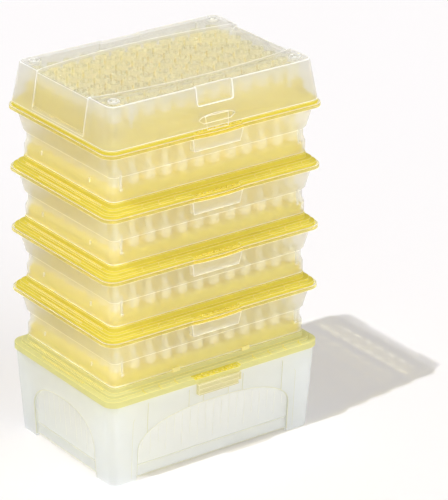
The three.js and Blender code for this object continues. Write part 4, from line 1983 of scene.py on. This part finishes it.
@dataclass
class Stack:
    """All tiers of the stack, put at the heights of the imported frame.

    Attributes:
        deck: Plan of the decks, the trays, the plates and the lid.
        base_plan: Plan of the base box.
    """

    deck: Outline = Outline()
    base_plan: Outline = Outline(corner=1.88, growth=0.6)

    row_tips = 12

    def rim(self, tier: int) -> float:
        """Height of a tier's rim above the floor, from the frame.

        Args:
            tier: Number of the tier, 0 for the base box's.

        Returns:
            The height.
        """
        if tier == 0:
            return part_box("base_rack_plate")[0].z / MM
        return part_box(f"refill_tray_{tier}")[1].z / MM - RefillTray.lip

    def tiers(self) -> None:
        """Model the plates, the trays and the tips, and mount a copy of each on every tier."""
        tray = RefillTray(self.deck).build("tray_model")
        plate = RackPlate(self.deck, 6.2, 1.2).build("plate_model")
        base_plate = RackPlate(self.deck, 7.4, 0.0, is_base=True).build("base_rack")
        tips = TipRack().build()
        row = [f"tip_{number + 1}" for number in range(self.row_tips)]
        for tier in range(TRAY_COUNT + 1):
            parts = [(base_plate, "base_plate_fine", Finish.YELLOW, ["base_rack_plate"])]
            if tier > 0:
                parts = [
                    (tray, f"tray_{tier}_fine", Finish.TRAY, [f"refill_tray_{tier}"]),
                    (plate, f"plate_{tier}_fine", Finish.YELLOW, [f"rack_plate_{tier}"]),
                ]
            parts.append((tips, f"tips_{tier}", Finish.TIP, row if tier == TRAY_COUNT else []))
            for model, name, finish, nodes in parts:
                piece = Bench.copy(model, name, self.rim(tier))
                Bench.mount(piece, "stack", finish, *nodes)
        for model in (tray, plate, base_plate, tips):
            bpy.data.objects.remove(model)

    def build(self) -> None:
        """Model and mount every piece."""
        box = BaseBox(self.base_plan)
        Bench.mount(box.build(), "stack", Finish.BASE, "base_box")
        Bench.mount(box.catches(), "stack", Finish.CATCH)
        self.tiers()
        model = Lid(self.deck).build()
        lid = Bench.copy(model, "lid_fine", self.rim(TRAY_COUNT))
        Bench.mount(lid, "lid", Finish.LID, "lid")
        bpy.data.objects.remove(model)


# ---- The studio ----


@dataclass
class Studio:
    """Floor, lights and camera.

    Attributes:
        azimuth: The camera's bearing around the stack, in degrees.
        elevation: The camera's height above the horizon, in degrees.
        distance: Distance from the camera to the point that it looks at.
        target: Height of that point.
        offset: Distance of that point from the stack's axis, to the camera's right.
        lens: Focal length.
        shift: Shift of the picture, as a share of its long side.
        sides: Brightness of the surroundings at the horizon.
        above: Brightness of the surroundings overhead.
        key: Strength of the key lamp.
        key_from: The direction that its light comes from.
        fill: Strength of the fill lamp.
        fill_from: The direction that its light comes from.
    """

    azimuth: float = -35.2
    elevation: float = 23.3
    distance: float = 1357.9
    target: float = 103.15
    offset: float = 2.13
    lens: float = 207.96
    shift: Spot = (0.109, -0.043)
    sides: float = 0.7
    above: float = 0.25
    key: float = 1.68
    key_from: Point = (-0.51, -0.06, 1.0)
    fill: float = 1.13
    fill_from: Point = (0.35, -1.0, 0.55)

    floor_size = 12.0
    floor_drop = 0.0002

    def floor(self) -> None:
        """Lay the paper that the stack stands on."""
        Bench.clear()
        middle = (0.0, 0.0, -self.floor_drop)
        bpy.ops.mesh.primitive_plane_add(size=self.floor_size, location=middle)
        paper = bpy.context.object
        paper.name = "studio_floor"
        paper.data.materials.append(PaperFloor().build())

    def surroundings(self) -> None:
        """Light the stack from all around, more from the sides than from above."""
        world = bpy.data.worlds.new("studio_world")
        bpy.context.scene.world = world
        world.use_nodes = True
        web = Web.of(world.node_tree)
        way = web.wire(web.node("ShaderNodeTexCoord"), "Generated")
        height = web.wire(web.node("ShaderNodeSeparateXYZ", None, {0: way}), "Z")
        tent = self.sides - web.maths("MAXIMUM", height, 0.0) * (self.sides - self.above)
        seen = web.wire(web.node("ShaderNodeLightPath"), "Is Camera Ray")
        strength = web.maths("MAXIMUM", seen, tent)
        shade = web.node("ShaderNodeBackground", None, {"Color": WHITE, "Strength": strength})
        web.node("ShaderNodeOutputWorld", None, {"Surface": shade.outputs[0]})

    def lamp(self, name: str, strength: float, angle: float, source: Point) -> None:
        """Hang a distant lamp.

        Args:
            name: Name of the lamp.
            strength: Its strength.
            angle: How wide it looks, in degrees.
            source: The direction that its light comes from.
        """
        light = bpy.data.lights.new(name, "SUN")
        light.energy = strength
        light.angle = math.radians(angle)
        holder = bpy.data.objects.new(name, light)
        bpy.context.scene.collection.objects.link(holder)
        holder.rotation_euler = Vector(source).to_track_quat("Z", "Y").to_euler()

    def camera(self) -> None:
        """Set the camera."""
        turn, rise = math.radians(self.azimuth), math.radians(self.elevation)
        level = math.cos(rise)
        back = Vector((math.sin(turn) * level, -math.cos(turn) * level, math.sin(rise)))
        right = Vector((math.cos(turn), math.sin(turn), 0.0))
        lens = bpy.data.cameras.new("studio_camera")
        lens.lens = self.lens
        lens.shift_x, lens.shift_y = self.shift
        lens.clip_start, lens.clip_end = 0.05, 50.0
        holder = bpy.data.objects.new("studio_camera", lens)
        bpy.context.scene.collection.objects.link(holder)
        look_at = Vector((0.0, 0.0, self.target)) + right * self.offset
        holder.location = (look_at + back * self.distance) * MM
        holder.rotation_euler = back.to_track_quat("Z", "Y").to_euler()
        bpy.context.scene.camera = holder

    def build(self) -> None:
        """Set up the whole studio."""
        self.floor()
        self.surroundings()
        self.lamp("key_lamp", self.key, 0.6, self.key_from)
        self.lamp("fill_lamp", self.fill, 60.0, self.fill_from)
        self.camera()
        scene = bpy.context.scene
        scene.view_settings.view_transform = "Standard"
        scene.cycles.use_denoising = True
        scene.cycles.max_bounces = 48
        scene.cycles.diffuse_bounces = 24
        scene.cycles.glossy_bounces = 12
        scene.cycles.transmission_bounces = 40
        scene.cycles.transparent_max_bounces = 64


def main() -> None:
    """Build the stack and its studio, and note how large the model is."""
    logging.basicConfig(level=logging.INFO, format="%(message)s")
    Stack().build()
    Studio().build()


if __name__ == "__main__":
    main()
